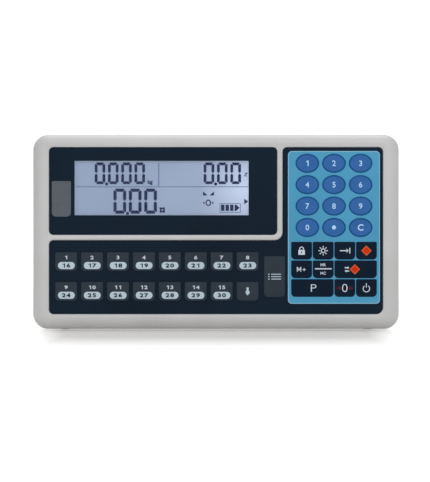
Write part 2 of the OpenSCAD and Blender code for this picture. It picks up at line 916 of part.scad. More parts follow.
// Round socket with a flange, five contacts and a threaded ring
module load_cell_socket() {
    color("silver") difference() {
        union() {
            rear_rod(cell_x, bay_z, cell_body_r, bay_y - cell_body_l, bay_y + cell_shell_l);
            rear_rod(cell_x, bay_z, cell_flange_r, bay_y, bay_y + cell_flange_t);
        }
        rear_rod(cell_x, bay_z, cell_bore_r, bay_y + cell_shell_l - cell_bore_l, rear_y + over);
        for (i = [0:cell_pins - 1]) {
            a = 360 * i / cell_pins;
            rear_rod(cell_x + cell_pin_ring_r * cos(a), bay_z + cell_pin_ring_r * sin(a), cell_pin_r,
                bay_y, rear_y);
        }
    }
}

// The slanted outline of a nine-way data socket
module serial_outline(size, margin) {
    w = size[0] / 2 + margin;
    h = size[1] / 2 + margin;
    translate([serial_x, bay_z])
        polygon([[-w + serial_slant, -h], [w - serial_slant, -h], [w, h], [-w, h]]);
}

module serial_socket() {
    color("lightslategray") difference() {
        union() {
            translate([serial_x - serial_plate[0] / 2, bay_y, bay_z - serial_plate[2] / 2])
                cube(serial_plate);
            translate([0, bay_y + serial_shell_l, 0]) rotate([90, 0, 0])
                linear_extrude(serial_shell_l) serial_outline(serial_shell, 0);
            translate([0, bay_y, 0]) rotate([90, 0, 0])
                linear_extrude(serial_body_l) serial_outline(serial_body, 0);
            for (x = [-1, 1]) translate([serial_x + x * serial_post_pitch / 2, bay_y, bay_z])
                rotate([-90, 0, 0]) cylinder(r = serial_post_r, h = serial_post_l, $fn = 6);
        }
        // Five contacts in the upper row and four in the lower
        for (row = [0, 1]) for (i = [0:4 - row])
            rear_rod(serial_x + (i - (4 - row) / 2) * serial_pin_pitch,
                bay_z + (1 / 2 - row) * serial_row_pitch, serial_pin_r, bay_y, rear_y);
        for (x = [-1, 1])
            rear_rod(serial_x + x * serial_post_pitch / 2, bay_z, small_pilot_r, bay_y + fit_gap, rear_y);
    }
}

// Barrel jack with its nut and centre pin
module power_jack() {
    floor_y = bay_y - power_body_l + over;
    color("dimgray") {
        difference() {
            union() {
                rear_rod(power_x, bay_z, power_body_r, bay_y - power_body_l, bay_y + power_nut_t);
                translate([power_x, bay_y, bay_z]) rotate([-90, 0, 0])
                    cylinder(r = power_nut_r, h = power_nut_t, $fn = 6);
            }
            rear_rod(power_x, bay_z, power_bore_r, floor_y, rear_y);
        }
        rear_rod(power_x, bay_z, power_pin_r, floor_y - over / 2, bay_y);
    }
}

module case_screws() {
    color("silver") in_face() for (place = SCREWS) difference() {
        union() {
            face_rod(place[0], place[1], screw_shank_r, well_floor - screw_shank_l,
                well_floor + screw_head_h / 2);
            face_rod(place[0], place[1], screw_head_r, well_floor, well_floor + screw_head_h);
        }
        cross_slot(place[0], place[1], screw_head_r, well_floor + screw_head_h);
    }
}

// Cross recess in a screw head whose end lies at a depth of the face
module cross_slot(x, z, r, end) {
    slot_w = r / 4;
    for (a = [0, 90]) translate([x, end, z]) rotate([0, a, 0])
        translate([-r / 2, -r / 4, -slot_w / 2]) cube([r, r, slot_w]);
}

// A pan head screw with its head's seat at z = 0 and its shank below
module small_screw() {
    difference() {
        union() {
            translate([0, 0, -small_shank_l])
                cylinder(r = small_shank_r, h = small_shank_l + small_head_h / 2);
            cylinder(r = small_head_r, h = small_head_h);
        }
        translate([0, 0, small_head_h]) rotate([-90, 0, 0]) cross_slot(0, 0, small_head_r, 0);
    }
}

module small_screws() {
    color("silver") {
        in_face() for (place = BOARD_POSTS)
            translate([place[0], board_back, place[1]]) rotate([-90, 0, 0]) small_screw();
        translate([clamp_x, clamp_screw_y, foot_h + wall + clamp_foot_h + clamp_t]) clamp_screw_up();
        translate([clamp_x, rear_y - wall - clamp_back_l - clamp_t, clamp_screw_z])
            rotate([90, 0, 0]) clamp_screw_up();
    }
}

// The clamp's screws stop short of the case walls
module clamp_screw_up() {
    difference() {
        union() {
            translate([0, 0, -clamp_foot_h])
                cylinder(r = small_shank_r, h = clamp_foot_h + small_head_h / 2);
            cylinder(r = small_head_r, h = small_head_h);
        }
        translate([0, 0, small_head_h]) rotate([-90, 0, 0]) cross_slot(0, 0, small_head_r, 0);
    }
}

module rubber_feet() {
    color("black") for (place = FEET)
        translate([place[0], place[1], 0]) cylinder(r = foot_r, h = foot_h + foot_seat);
}

module bracket_inserts() {
    color("goldenrod") for (place = INSERTS) difference() {
        rear_rod(place[0], place[1], insert_r, rear_y - insert_l, rear_y);
        rear_rod(place[0], place[1], bracket_hole_r, rear_y - insert_l - over, rear_y + over);
    }
}

front_housing();
rear_housing();
display_overlay();
lcd_window();
side_window();
keypad_overlay();
keypad_membrane();
lcd_glass();
lcd_backlight();
main_board();
board_components();
battery();
battery_clamp();
wiring_loom();
load_cell_socket();
serial_socket();
power_jack();
case_screws();
small_screws();
rubber_feet();
bracket_inserts();
for (key = KEYS) key_cap(key);
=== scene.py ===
# %% [markdown]
# # A weighing indicator
# The object is a flat desk case that leans back a little. Its face carries a lit display, two dark
# printed films and thirty-nine soft keys. The CAD model is loaded first and never changed: it says
# how big everything is and which body each piece moves with. Blender then adds what CAD leaves out,
# which is soft edges, printed inks and finishes.

# %% Load the measured frame
import json
import math

import bmesh
import bpy
import numpy as np
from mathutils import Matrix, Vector
from mathutils.geometry import tessellate_polygon


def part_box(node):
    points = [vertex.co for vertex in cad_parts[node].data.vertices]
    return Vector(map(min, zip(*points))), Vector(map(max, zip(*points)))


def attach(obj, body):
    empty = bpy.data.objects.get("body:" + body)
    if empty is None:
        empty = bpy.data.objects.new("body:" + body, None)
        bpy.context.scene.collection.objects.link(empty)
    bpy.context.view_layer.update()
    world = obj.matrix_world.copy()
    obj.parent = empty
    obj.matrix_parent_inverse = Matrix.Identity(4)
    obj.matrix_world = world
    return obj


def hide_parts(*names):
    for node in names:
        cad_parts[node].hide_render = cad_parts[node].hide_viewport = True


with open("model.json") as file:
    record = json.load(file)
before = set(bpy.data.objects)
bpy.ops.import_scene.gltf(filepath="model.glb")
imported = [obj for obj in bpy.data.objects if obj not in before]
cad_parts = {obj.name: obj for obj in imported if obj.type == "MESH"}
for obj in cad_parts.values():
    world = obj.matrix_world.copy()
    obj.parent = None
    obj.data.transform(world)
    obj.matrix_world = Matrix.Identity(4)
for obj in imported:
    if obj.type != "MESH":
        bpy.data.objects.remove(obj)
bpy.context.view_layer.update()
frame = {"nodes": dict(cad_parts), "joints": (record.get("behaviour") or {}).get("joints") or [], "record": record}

# %% [markdown]
# The face of the case leans back, so its pieces are easiest to place in the face's own
# coordinates: across, up along the face, and depth into the case, all in millimetres. The keys
# slide straight into the face, so the axis of a key's joint is the depth direction. The clear
# display window is a plain slab, so the middle of its box fixes where the face is.

# %% Coordinates of the leaning face
MM = 0.001
ACROSS = np.array([1.0, 0.0, 0.0])
press = next(joint for joint in frame["joints"] if joint["name"] == "key_5_press")
INTO = np.array(press["axis"], dtype=float)
INTO /= np.linalg.norm(INTO)
UP = np.cross(ACROSS, INTO)

WINDOW = {"x0": -116.3, "x1": 26.8, "u0": 93.6, "u1": 138.3}
WINDOW_DEPTH = 2.3
WINDOW_MIDDLE = ((WINDOW["x0"] + WINDOW["x1"]) / 2, WINDOW_DEPTH, (WINDOW["u0"] + WINDOW["u1"]) / 2)


def middle_of(node):
    """Middle of a CAD node's box: the mean of its lowest and highest corners."""
    low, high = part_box(node)
    return (np.array(low) + np.array(high)) / 2


def along_face(across, depth, up):
    """Offset in metres: across times X, plus depth times the way in, plus up times the way up."""
    across, depth, up = np.broadcast_arrays(across, depth, up)
    return MM * (across[..., None] * ACROSS + depth[..., None] * INTO + up[..., None] * UP)


FACE_FOOT = middle_of("lcd_window") - along_face(*WINDOW_MIDDLE)


def on_face(across, depth, up):
    """World place in metres of a point in face millimetres: the foot of the face plus the offset."""
    return FACE_FOOT + along_face(across, depth, up)


print("lean of the face in degrees:", round(math.degrees(math.asin(UP[1])), 3))

# %% [markdown]
# Nearly every piece here is a smooth outline carried through a few depths. An outline is a closed
# ring of points. Two outlines with the same number of points can be joined by a band of faces, so
# a key, a glass or a bezel is a stack of rings. Flat films with openings are cut into triangles,
# front and back, and get a wall round each edge.

# %% Outlines
SMALL = 0.02
ARC = 10


def rectangle(x0, x1, u0, u1, low_r, top_r):
    """Corners of a rectangle, anticlockwise, each as across, up and radius."""
    return [(x0, u0, low_r), (x1, u0, low_r), (x1, u1, top_r), (x0, u1, top_r)]


def outline(corners, inset=0.0, arc=ARC):
    """Ring round a square-cornered shape with rounded corners, pulled inwards by inset.

    A corner moves inwards by the sum of its two edge normals. Its quarter circle is
    centre -+ radius * (normal_in * cos t + normal_out * sin t), minus at an outer corner and plus
    at an inner one, where t runs from 0 to a quarter turn.
    """
    points = np.array([corner[:2] for corner in corners], dtype=float)
    radii = np.array([corner[2] for corner in corners], dtype=float)[:, None]
    came = points - np.roll(points, 1, axis=0)
    came /= np.linalg.norm(came, axis=1, keepdims=True)
    goes = np.roll(came, -1, axis=0)
    normal_in = np.stack([-came[:, 1], came[:, 0]], axis=1)
    normal_out = np.stack([-goes[:, 1], goes[:, 0]], axis=1)
    turn = np.sign(came[:, 0] * goes[:, 1] - came[:, 1] * goes[:, 0])[:, None]
    radii = np.maximum(radii - turn * inset, SMALL)
    moved = points + inset * (normal_in + normal_out)
    centres = moved + turn * radii * (normal_in + normal_out)
    t = np.linspace(0, math.pi / 2, arc + 1)[None, :, None]
    bend = normal_in[:, None] * np.cos(t) + normal_out[:, None] * np.sin(t)
    return (centres[:, None] - turn[:, None] * radii[:, None] * bend).reshape(-1, 2)


def oval(across, up, half_w, half_h, inset=0.0, sides=48):
    """Ring round an ellipse: centre + (half_w - inset) * cos a, (half_h - inset) * sin a."""
    a = np.linspace(0, 2 * math.pi, sides, endpoint=False)
    return np.stack([across + (half_w - inset) * np.cos(a), up + (half_h - inset) * np.sin(a)], axis=1)


def circle(across, up, radius, sides=48):
    """Ring round a circle."""
    return oval(across, up, radius, radius, sides=sides)


def at_depth(ring, depth):
    """A flat ring of face points laid at one depth, as world points."""
    return on_face(ring[:, 0], depth, ring[:, 1])


# %% Surfaces
def loft(rings):
    """Faces of a stack of rings: each point joins its neighbour and the ring after, and the first
    and last ring are closed by a face each."""
    rings = np.asarray(rings)
    count, sides = rings.shape[:2]
    grid = np.arange(count * sides).reshape(count, sides)
    ahead = np.roll(grid, -1, axis=1)
    bands = np.stack([grid[:-1], ahead[:-1], ahead[1:], grid[1:]], axis=-1).reshape(-1, 4)
    return rings.reshape(-1, 3), bands.tolist() + [grid[0][::-1].tolist(), grid[-1].tolist()]


def sheet_region(edge, holes, depth):
    """Flat region with holes at one depth: its world points, and triangles from the ring points."""
    rings = [edge, *holes]
    flat = np.concatenate(rings)
    triangles = tessellate_polygon([[Vector((*point, 0.0)) for point in ring] for ring in rings])
    return at_depth(flat, depth), [list(triangle) for triangle in triangles]


def bands(*steps):
    """Open bands of faces from ring to ring, each step a ring and its depth."""
    points, faces = loft([at_depth(ring, depth) for ring, depth in steps])
    return points, faces[:-2]


def wall(ring, front, back):
    """Straight wall along one ring, between two depths."""
    return bands((ring, front), (ring, back))


def joined(parts):
    """One list of points and faces from several, with each part's indices moved past the last's. A
    part that names no ink has ink 0."""
    points, faces, inks = [], [], []
    start = 0
    for part_points, part_faces, *ink in parts:
        points.append(part_points)
        faces += [[start + index for index in face] for face in part_faces]
        inks += (ink or [0]) * len(part_faces)
        start += len(part_points)
    return np.concatenate(points), faces, inks


def film(regions, edge, holes, front, back):
    """Closed flat sheet: printed regions (edge, holes, ink) in front, one plain back, and walls."""
    parts = [(*sheet_region(rim, cut, front), ink) for rim, cut, ink in regions]
    parts.append(sheet_region(edge, holes, back))
    parts += [wall(ring, front, back) for ring in [edge, *holes]]
    return joined(parts)


def surface_of(mesh):
    """Points of a mesh, and its faces as lists of indices."""
    points = np.empty(len(mesh.vertices) * 3)
    mesh.vertices.foreach_get("co", points)
    return points.reshape(-1, 3), [list(face.vertices) for face in mesh.polygons]


def new_object(name, data):
    """Object made of some data, linked into the scene."""
    thing = bpy.data.objects.new(name, data)
    bpy.context.scene.collection.objects.link(thing)
    return thing


MERGE_REACH = 2e-6
LEAST_EDGE = 1e-7
SHARP_ANGLE = 35


def make_piece(name, surface, finishes, body="case", replaces=(), smooth=SHARP_ANGLE):
    """Object from (points, faces, ink of each face): doubles merged, faces turned outwards, smooth
    but for edges sharper than the angle, riding on its body."""
    points, faces = surface[0], surface[1]
    inks = surface[2] if len(surface) > 2 else [0] * len(faces)
    mesh = bpy.data.meshes.new(name)
    mesh.from_pydata(points.tolist(), [], faces)
    mesh.polygons.foreach_set("material_index", np.array(inks, dtype=np.int32))
    shape = bmesh.new()
    shape.from_mesh(mesh)
    bmesh.ops.remove_doubles(shape, verts=shape.verts, dist=MERGE_REACH)
    bmesh.ops.dissolve_degenerate(shape, edges=shape.edges, dist=LEAST_EDGE)
    bmesh.ops.recalc_face_normals(shape, faces=shape.faces)
    shape.to_mesh(mesh)
    shape.free()
    mesh.shade_smooth()
    mesh.set_sharp_from_angle(angle=math.radians(smooth))
    for finish in finishes:
        mesh.materials.append(finish)
    piece = new_object(name, mesh)
    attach(piece, body)
    if replaces:
        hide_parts(*replaces)
    return piece


# %% [markdown]
# A finish is a Principled shader with a little life in it. Moulded plastic has a fine grain and is
# never quite one colour. Printed film is darker and slightly satin. Noise at two scales does both:
# a wide one moves the colour a little, and a fine one moves roughness and height. All patterns
# read Object coordinates, which are metres here, so a scale of 1000 is about one grain a millimetre.

# %% Shader helpers
def paint(red, green, blue):
    """Linear colour of a screen colour of 0 to 255: ((c + 0.055) / 1.055) to the power 2.4."""
    screen = np.array([red, green, blue]) / 255
    linear = np.where(screen <= 0.04045, screen / 12.92, ((screen + 0.055) / 1.055) ** 2.4)
    return (*linear.tolist(), 1.0)


def connect(tree, socket, value):
    """Links another socket to this one, or sets a plain value on it."""
    if isinstance(value, bpy.types.NodeSocket):
        tree.links.new(value, socket)
    else:
        socket.default_value = value


def feed(tree, node, **sockets):
    """The node, with a plain value or a link on each of its named sockets. An underscore in a name
    stands for a space."""
    for name, value in sockets.items():
        connect(tree, node.inputs[name.replace("_", " ")], value)
    return node


def new_finish(name, **sockets):
    """Material, its node tree, its Principled shader with plain values set, and its Object
    coordinate."""
    finish = bpy.data.materials.new(name)
    finish.use_nodes = True
    tree = finish.node_tree
    shader = next(node for node in tree.nodes if node.type == "BSDF_PRINCIPLED")
    feed(tree, shader, **sockets)
    place = tree.nodes.new("ShaderNodeTexCoord").outputs["Object"]
    return finish, tree, shader, place


def bare_tree(owner, output):
    """Emptied node tree of a material or a world, and the Surface socket of its new output."""
    owner.use_nodes = True
    tree = owner.node_tree
    tree.nodes.clear()
    return tree, tree.nodes.new(output).inputs["Surface"]


def noise(tree, place, scale, detail=2.0):
    """Factor of a noise pattern with that many grains a metre."""
    pattern = tree.nodes.new("ShaderNodeTexNoise")
    return feed(tree, pattern, Scale=scale, Detail=detail, Vector=place).outputs["Fac"]


def spread(tree, factor, low, high, start=0.3, end=0.7):
    """Number that runs from low to high while the factor runs from start to end."""
    step = tree.nodes.new("ShaderNodeMapRange")
    feed(tree, step, Value=factor, From_Min=start, From_Max=end, To_Min=low, To_Max=high)
    return step.outputs["Result"]


def two_numbers(tree, operation, first, second):
    """Math node on two numbers, each a socket or a plain value."""
    node = tree.nodes.new("ShaderNodeMath")
    node.operation = operation
    for socket, value in zip(node.inputs, (first, second)):
        connect(tree, socket, value)
    return node.outputs[0]


def blend_paint(tree, factor, first, second):
    """Colour that goes from first to second as the factor goes from 0 to 1."""
    blend = tree.nodes.new("ShaderNodeMix")
    blend.data_type = "RGBA"
    connect(tree, blend.inputs[0], factor)
    colours = [socket for socket in blend.inputs if socket.type == "RGBA"]
    for socket, value in zip(colours, (first, second)):
        connect(tree, socket, value)
    return next(socket for socket in blend.outputs if socket.type == "RGBA")


def mix_shaders(tree, factor, first, second, surface):
    """Look that goes from the first shader to the second as the factor goes from 0 to 1."""
    mix = tree.nodes.new("ShaderNodeMixShader")
    for socket, source in zip(mix.inputs, (factor, first.outputs[0], second.outputs[0])):
        tree.links.new(source, socket)
    tree.links.new(mix.outputs["Shader"], surface)


def axes_of(tree, place):
    """The X, Y and Z of a coordinate, as outputs of one node."""
    return feed(tree, tree.nodes.new("ShaderNodeSeparateXYZ"), Vector=place).outputs


def raise_grain(tree, shader, height, depth, strength=0.4):
    """Bump of that depth in millimetres on the shader's normal."""
    bump = tree.nodes.new("ShaderNodeBump")
    feed(tree, bump, Strength=strength, Distance=depth * MM, Height=height)
    feed(tree, shader, Normal=bump.outputs["Normal"])


FINE_DETAIL = 3.0
ROUGH_SWING = 0.06


def grained(name, dark, light, rough, grain, depth, patch=25.0, **sockets):
    """Finish with two close colours in wide patches, and a fine grain in roughness and height.

    The colours are screen colours, grain and patch are counts a metre, and depth is the height of
    the grain in millimetres.
    """
    finish, tree, shader, place = new_finish(name, **sockets)
    wide = spread(tree, noise(tree, place, patch), 0, 1)
    fine = noise(tree, place, grain, FINE_DETAIL)
    feed(tree, shader, Base_Color=blend_paint(tree, wide, paint(*dark), paint(*light)),
         Roughness=spread(tree, fine, rough - ROUGH_SWING, rough + ROUGH_SWING))
    raise_grain(tree, shader, fine, depth)
    return finish


# %% Finishes of the case, the films and the keys
HOUSING = grained("moulded_housing", (188, 187, 186), (194, 193, 193), 0.46, 2600, 0.05)
SATIN = {"Specular_IOR_Level": 0.05}
NAVY_FILM = grained("navy_film", (13, 27, 40), (17, 32, 46), 0.36, 4000, 0.01, 18, **SATIN)
BLUE_PRINT = grained("blue_print", (76, 149, 185), (82, 157, 194), 0.36, 4000, 0.01, 18, **SATIN)
PALE_LINE = grained("pale_line", (130, 180, 204), (140, 188, 210), 0.36, 4000, 0.01, **SATIN)
BLUE_KEY = grained("blue_key", (50, 98, 158), (56, 104, 166), 0.36, 3000, 0.02, 60, **SATIN)
BLUE_KEY_RIM = grained("blue_key_rim", (20, 78, 132), (26, 86, 140), 0.36, 3000, 0.02, **SATIN)
NAVY_KEY = grained("navy_key", (9, 24, 40), (12, 28, 45), 0.36, 3000, 0.02, 60, **SATIN)
GREY_KEY = grained("grey_key", (45, 54, 63), (50, 58, 67), 0.38, 3000, 0.02, 60, **SATIN)


def printed(name, dark, light):
    """Printed ink: satin, with hardly any grain."""
    return grained(name, dark, light, 0.5, 5000, 0.005, **SATIN)


WHITE_INK = printed("white_ink", (194, 203, 214), (202, 210, 220))
FIGURE_INK = printed("figure_ink", (176, 208, 244), (186, 216, 248))
PILL_INK = printed("pill_ink", (180, 197, 208), (188, 204, 214))
DARK_INK = printed("dark_ink", (12, 22, 30), (16, 26, 34))
RED_INK = printed("red_ink", (205, 46, 14), (214, 56, 20))
ORANGE_INK = printed("orange_ink", (216, 104, 56), (224, 114, 66))
ROSE_INK = printed("rose_ink", (112, 20, 46), (122, 26, 52))

# %% [markdown]
# The display is the one lit piece. Its glass glows unevenly, because the lamps sit at one end. A
# gradient along the window does that better than a texture. The emission carries one part of the
# colour and the base colour the rest, so the display still answers to the room's light.

# %% Finishes of the display
GLASS_BODY = 0.6
GLASS_GLOW = 0.44
FAR_PAINT = (146, 161, 190)
NEAR_PAINT = (158, 171, 200)
LAMP_PAINT = (214, 226, 252)
LAMP_SHARES = (0.72, 1.02)
LAMP_Z = 0.115
LAMP_REACH = 0.022
LAMP_FADE = 0.45
GLOW_GRAIN = 18
GLOW_SWING = 0.05


def lit_glass():
    """Glow that stays a grey blue past the middle and brightens at the right edge, most of all
    half way up it."""
    finish, tree, shader, place = new_finish("lit_glass", Roughness=0.35)
    axes = axes_of(tree, place)
    along = spread(tree, axes["X"], 0, 1, WINDOW["x0"] * MM, WINDOW["x1"] * MM)
    body = blend_paint(tree, along, paint(*FAR_PAINT), paint(*NEAR_PAINT))
    near_lamp = spread(tree, along, 0, 1, *LAMP_SHARES)
    above = two_numbers(tree, "SUBTRACT", axes["Z"], LAMP_Z)
    off_middle = two_numbers(tree, "ABSOLUTE", above, 0.0)
    level = spread(tree, off_middle, 1, LAMP_FADE, 0.0, LAMP_REACH)
    lamp = two_numbers(tree, "MULTIPLY", near_lamp, level)
    glow = blend_paint(tree, lamp, body, paint(*LAMP_PAINT))
    for share, socket in ((GLASS_BODY, "Base Color"), (1.0, "Emission Color")):
        dim = tree.nodes.new("ShaderNodeVectorMath")
        dim.operation = "SCALE"
        patches = noise(tree, place, GLOW_GRAIN)
        patchy = spread(tree, patches, share * (1 - GLOW_SWING), share * (1 + GLOW_SWING))
        feed(tree, dim, Vector=glow, Scale=patchy)
        connect(tree, shader.inputs[socket], dim.outputs["Vector"])
    feed(tree, shader, Emission_Strength=GLASS_GLOW)
    raise_grain(tree, shader, noise(tree, place, 3000), 0.01)
    return finish


COATED_SHARE = 0.35
ACRYLIC_IOR = 1.49


def clear_sheet(name, tint, gloss):
    """Clear pane: Transparent, with a smooth gloss that grows towards grazing angles, held down
    by the share that a coated pane keeps."""
    finish = bpy.data.materials.new(name)
    tree, surface = bare_tree(finish, "ShaderNodeOutputMaterial")
    see = feed(tree, tree.nodes.new("ShaderNodeBsdfTransparent"), Color=tint)
    shine = feed(tree, tree.nodes.new("ShaderNodeBsdfGlossy"), Roughness=gloss)
    edge = feed(tree, tree.nodes.new("ShaderNodeFresnel"), IOR=ACRYLIC_IOR)
    mirrored = two_numbers(tree, "MULTIPLY", edge.outputs["Fac"], COATED_SHARE)
    mix_shaders(tree, mirrored, see, shine, surface)
    return finish


LIT_GLASS = lit_glass()
CLEAR_PANE = clear_sheet("clear_pane", (0.97, 0.98, 0.98, 1.0), 0.03)
SMOKED_PANE = grained("smoked_pane", (86, 94, 99), (92, 99, 105), 0.3, 2500, 0.01, 90, **SATIN)
SEGMENT_INK = grained("segment_ink", (30, 42, 84), (36, 48, 92), 0.45, 3000, 0.005, **SATIN)
FAINT_INK = grained("faint_ink", (96, 110, 150), (104, 118, 158), 0.45, 3000, 0.005, **SATIN)

# %% Finishes of what is inside and behind
CIRCUIT_FILM = grained("circuit_film", (196, 190, 170), (206, 200, 180), 0.4, 900, 0.01)
WHITE_PLASTIC = grained("white_plastic", (228, 228, 224), (234, 234, 230), 0.5, 1800, 0.03)
CIRCUIT_BOARD = grained("circuit_board", (18, 84, 52), (24, 96, 60), 0.38, 1500, 0.02, 140)
BLACK_PLASTIC = grained("black_plastic", (26, 27, 29), (34, 35, 37), 0.42, 2200, 0.03)
BATTERY_CASE = grained("battery_case", (52, 56, 62), (60, 64, 70), 0.48, 1200, 0.05)
WIRE_JACKET = grained("wire_jacket", (150, 28, 26), (164, 34, 30), 0.45, 2000, 0.02)
FOOT_RUBBER = grained("foot_rubber", (30, 31, 32), (40, 41, 42), 0.75, 1600, 0.06)
PLATED_STEEL = grained("plated_steel", (176, 178, 182), (196, 198, 202), 0.28, 1500, 0.02, Metallic=1.0)
NICKEL = grained("nickel", (186, 184, 176), (204, 202, 194), 0.24, 1800, 0.01, Metallic=1.0)
BRASS = grained("brass", (190, 150, 84), (206, 168, 98), 0.32, 1500, 0.02, Metallic=1.0)

NODE_FINISH = dict(
    housing=HOUSING, navy_film=NAVY_FILM, clear_pane=CLEAR_PANE, smoked_pane=SMOKED_PANE,
    circuit_film=CIRCUIT_FILM, lcd_glass=LIT_GLASS, white_plastic=WHITE_PLASTIC,
    circuit_board=CIRCUIT_BOARD, black_plastic=BLACK_PLASTIC, battery_case=BATTERY_CASE,
    plated_steel=PLATED_STEEL, wire_jacket=WIRE_JACKET, nickel=NICKEL, foot_rubber=FOOT_RUBBER,
    brass=BRASS, blue_key=BLUE_KEY, navy_key=NAVY_KEY, grey_key=GREY_KEY,
)


def slot_of(node):
    """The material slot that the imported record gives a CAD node."""
    row = next(row for row in frame["record"]["subparts"] if row["node"] == node)
    return row["material_slot"]


def dress_cad_nodes():
    """Puts the finish of its slot on every CAD node."""
    for node, thing in frame["nodes"].items():
        finish = NODE_FINISH[slot_of(node)]
        thing.data.materials.clear()
        thing.data.materials.append(finish)
        first = np.zeros(len(thing.data.polygons), dtype=np.int32)
        thing.data.polygons.foreach_set("material_index", first)
    print("CAD nodes dressed:", len(frame["nodes"]))


dress_cad_nodes()

# %% [markdown]
# Under the printed film each key is a soft pad with a flange that keeps it in. A stack of rings
# makes it: the flange, the wall, a quarter round at the top edge, and a flat crown. Its size and
# place come from the CAD node's own box. The box of a leaning key is taller by the key's thickness
# times the sine of the lean, so that is taken off, and the rest is divided by the cosine.

# %% Plans of the keys
KEY_CROWN = 0.75
KEY_SEAT = 1.7
KEY_BACK = 2.1
FLANGE = 0.3
KEY_ROUND = 0.35
KEY_ARC = 5
RIM_W = 1.1
OVAL_KEYS = [f"key_{digit}" for digit in range(10)] + ["key_point", "key_clear"]
PRESET_KEYS = [f"preset_key_{number}" for number in range(1, 16)]
GREY_KEYS = [*PRESET_KEYS, "key_shift", "key_list"]
FUNCTION_KEYS = [
    "key_price", "key_zero", "key_power", "key_memory_add", "key_memory_recall",
    "key_tare", "key_fixed", "key_light", "key_manual", "key_total",
]
KEY_LOW_R = 3.2
KEY_TOP_R = 1.0


def key_plan(key):
    """Middle and half sizes of a key, across and up: its box less the flange and the lean's share."""
    low, high = (np.array(corner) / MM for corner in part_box(key))
    offset = (middle_of(key) - FACE_FOOT) / MM
    thick = KEY_BACK - KEY_CROWN
    tall = (high[2] - low[2] - thick * UP[1]) / UP[2]
    half_sizes = np.array([high[0] - low[0], tall]) / 2 - FLANGE
    return np.array([offset @ ACROSS, offset @ UP, *half_sizes])


def key_ring(key, inset):
    """Outline of a key, pulled in by inset: an ellipse for the number keys, else a rounded pad."""
    x, u, half_w, half_h = key_plan(key)
    if key in OVAL_KEYS:
        return oval(x, u, half_w, half_h, inset)
    pad = rectangle(x - half_w, x + half_w, u - half_h, u + half_h, KEY_LOW_R, KEY_TOP_R)
    return outline(pad, inset)


def key_surface(key):
    """Pad of a key: flange, wall, quarter round of KEY_ROUND at its top edge, and a flat crown.

    The round goes inset = r * (1 - cos t), depth = crown + r * (1 - sin t). All faces but the back
    and the crown, which come last, take the rim's ink.
    """
    steps = [(-FLANGE, KEY_BACK), (-FLANGE, KEY_SEAT), (0.0, KEY_SEAT)]
    t = np.linspace(0, math.pi / 2, KEY_ARC + 1)
    steps += list(zip(KEY_ROUND * (1 - np.cos(t)), KEY_CROWN + KEY_ROUND * (1 - np.sin(t))))
    steps.append((RIM_W, KEY_CROWN))
    points, faces = loft([at_depth(key_ring(key, inset), depth) for inset, depth in steps])
    return points, faces, [1] * (len(faces) - 2) + [0, 0]


# %% Make the keys
def make_keys():
    """One pad for each key, riding on that key's body and standing for its CAD node."""
    looks = [
        (OVAL_KEYS, [BLUE_KEY, BLUE_KEY_RIM], "blue_key"),
        (FUNCTION_KEYS, [NAVY_KEY, NAVY_KEY], "navy_key"),
        (GREY_KEYS, [GREY_KEY, GREY_KEY], "grey_key"),
    ]
    for keys, finishes, slot in looks:
        for key in keys:
            make_piece(f"{key}_pad", key_surface(key), finishes, key, (key,))
    print("keys made:", sum(len(keys) for keys, _, _ in looks))


make_keys()

# %% [markdown]
# The keypad film is one sheet with an opening for each key. Its light blue field is printed on
# the same sheet, so the sheet's front is cut along the field's edge and each area gets its own
# ink. That keeps the print exactly on the film, with no second layer to float above it.

# %% Panels and films
PANEL = {"x0": -137.4, "x1": 137.4, "u0": 12.2, "u1": 149.6}
COLUMN_X0 = 54.7
BAND_U1 = 73.1
DISPLAY_X1 = 50.4
DISPLAY_U0 = 77.4
PANEL_R = 3.8
LOW_RIGHT_R = 5.8
INNER_R = 6.6
FILM_GAP = 0.12
FILM_FRONT = 1.2
FILM_BACK = 1.6
DISPLAY_FILM_BACK = 1.7
KEY_GAP = 0.15
FIELD = {"x0": 59.2, "x1": 134.8, "u0": 20.8, "u1": 146.4}
FIELD_R = 3.2
FIELD_LINE = 0.7
SIDE_WINDOW = {"x0": -135.1, "x1": -119.3, "u0": 92.4, "u1": 121.7}

keypad_corners = [
    (PANEL["x0"], PANEL["u0"], PANEL_R),
    (PANEL["x1"], PANEL["u0"], LOW_RIGHT_R),
    (PANEL["x1"], PANEL["u1"], PANEL_R),
    (COLUMN_X0, PANEL["u1"], PANEL_R),
    (COLUMN_X0, BAND_U1, INNER_R),
    (PANEL["x0"], BAND_U1, PANEL_R),
]
display_corners = rectangle(PANEL["x0"], DISPLAY_X1, DISPLAY_U0, PANEL["u1"], PANEL_R, PANEL_R)
field_corners = rectangle(*FIELD.values(), FIELD_R, FIELD_R)
window_corners = rectangle(*WINDOW.values(), 0.4, 0.4)
side_window_corners = rectangle(*SIDE_WINDOW.values(), 3.6, 1.2)


def make_keypad_film():
    """Keypad film: navy area, pale line and blue field in front, with all the key openings."""
    edge = outline(keypad_corners, FILM_GAP)
    field, inner = outline(field_corners), outline(field_corners, FIELD_LINE)
    grey = [key_ring(key, -KEY_GAP) for key in GREY_KEYS]
    blue = [key_ring(key, -KEY_GAP) for key in OVAL_KEYS + FUNCTION_KEYS]
    regions = [(edge, [field, *grey], 0), (field, [inner], 1), (inner, blue, 2)]
    surface = film(regions, edge, grey + blue, FILM_FRONT, FILM_BACK)
    make_piece("keypad_film", surface, [NAVY_FILM, PALE_LINE, BLUE_PRINT],
               replaces=("keypad_overlay",))
    print("keypad film openings:", len(grey) + len(blue))


def make_display_film():
    """Display film: navy, with one opening for the display and one for the side window."""
    edge = outline(display_corners, FILM_GAP)
    holes = [outline(window_corners), outline(side_window_corners)]
    surface = film([(edge, holes, 0)], edge, holes, FILM_FRONT, DISPLAY_FILM_BACK)
    make_piece("display_film", surface, [NAVY_FILM], replaces=("display_overlay",))


make_keypad_film()
make_display_film()

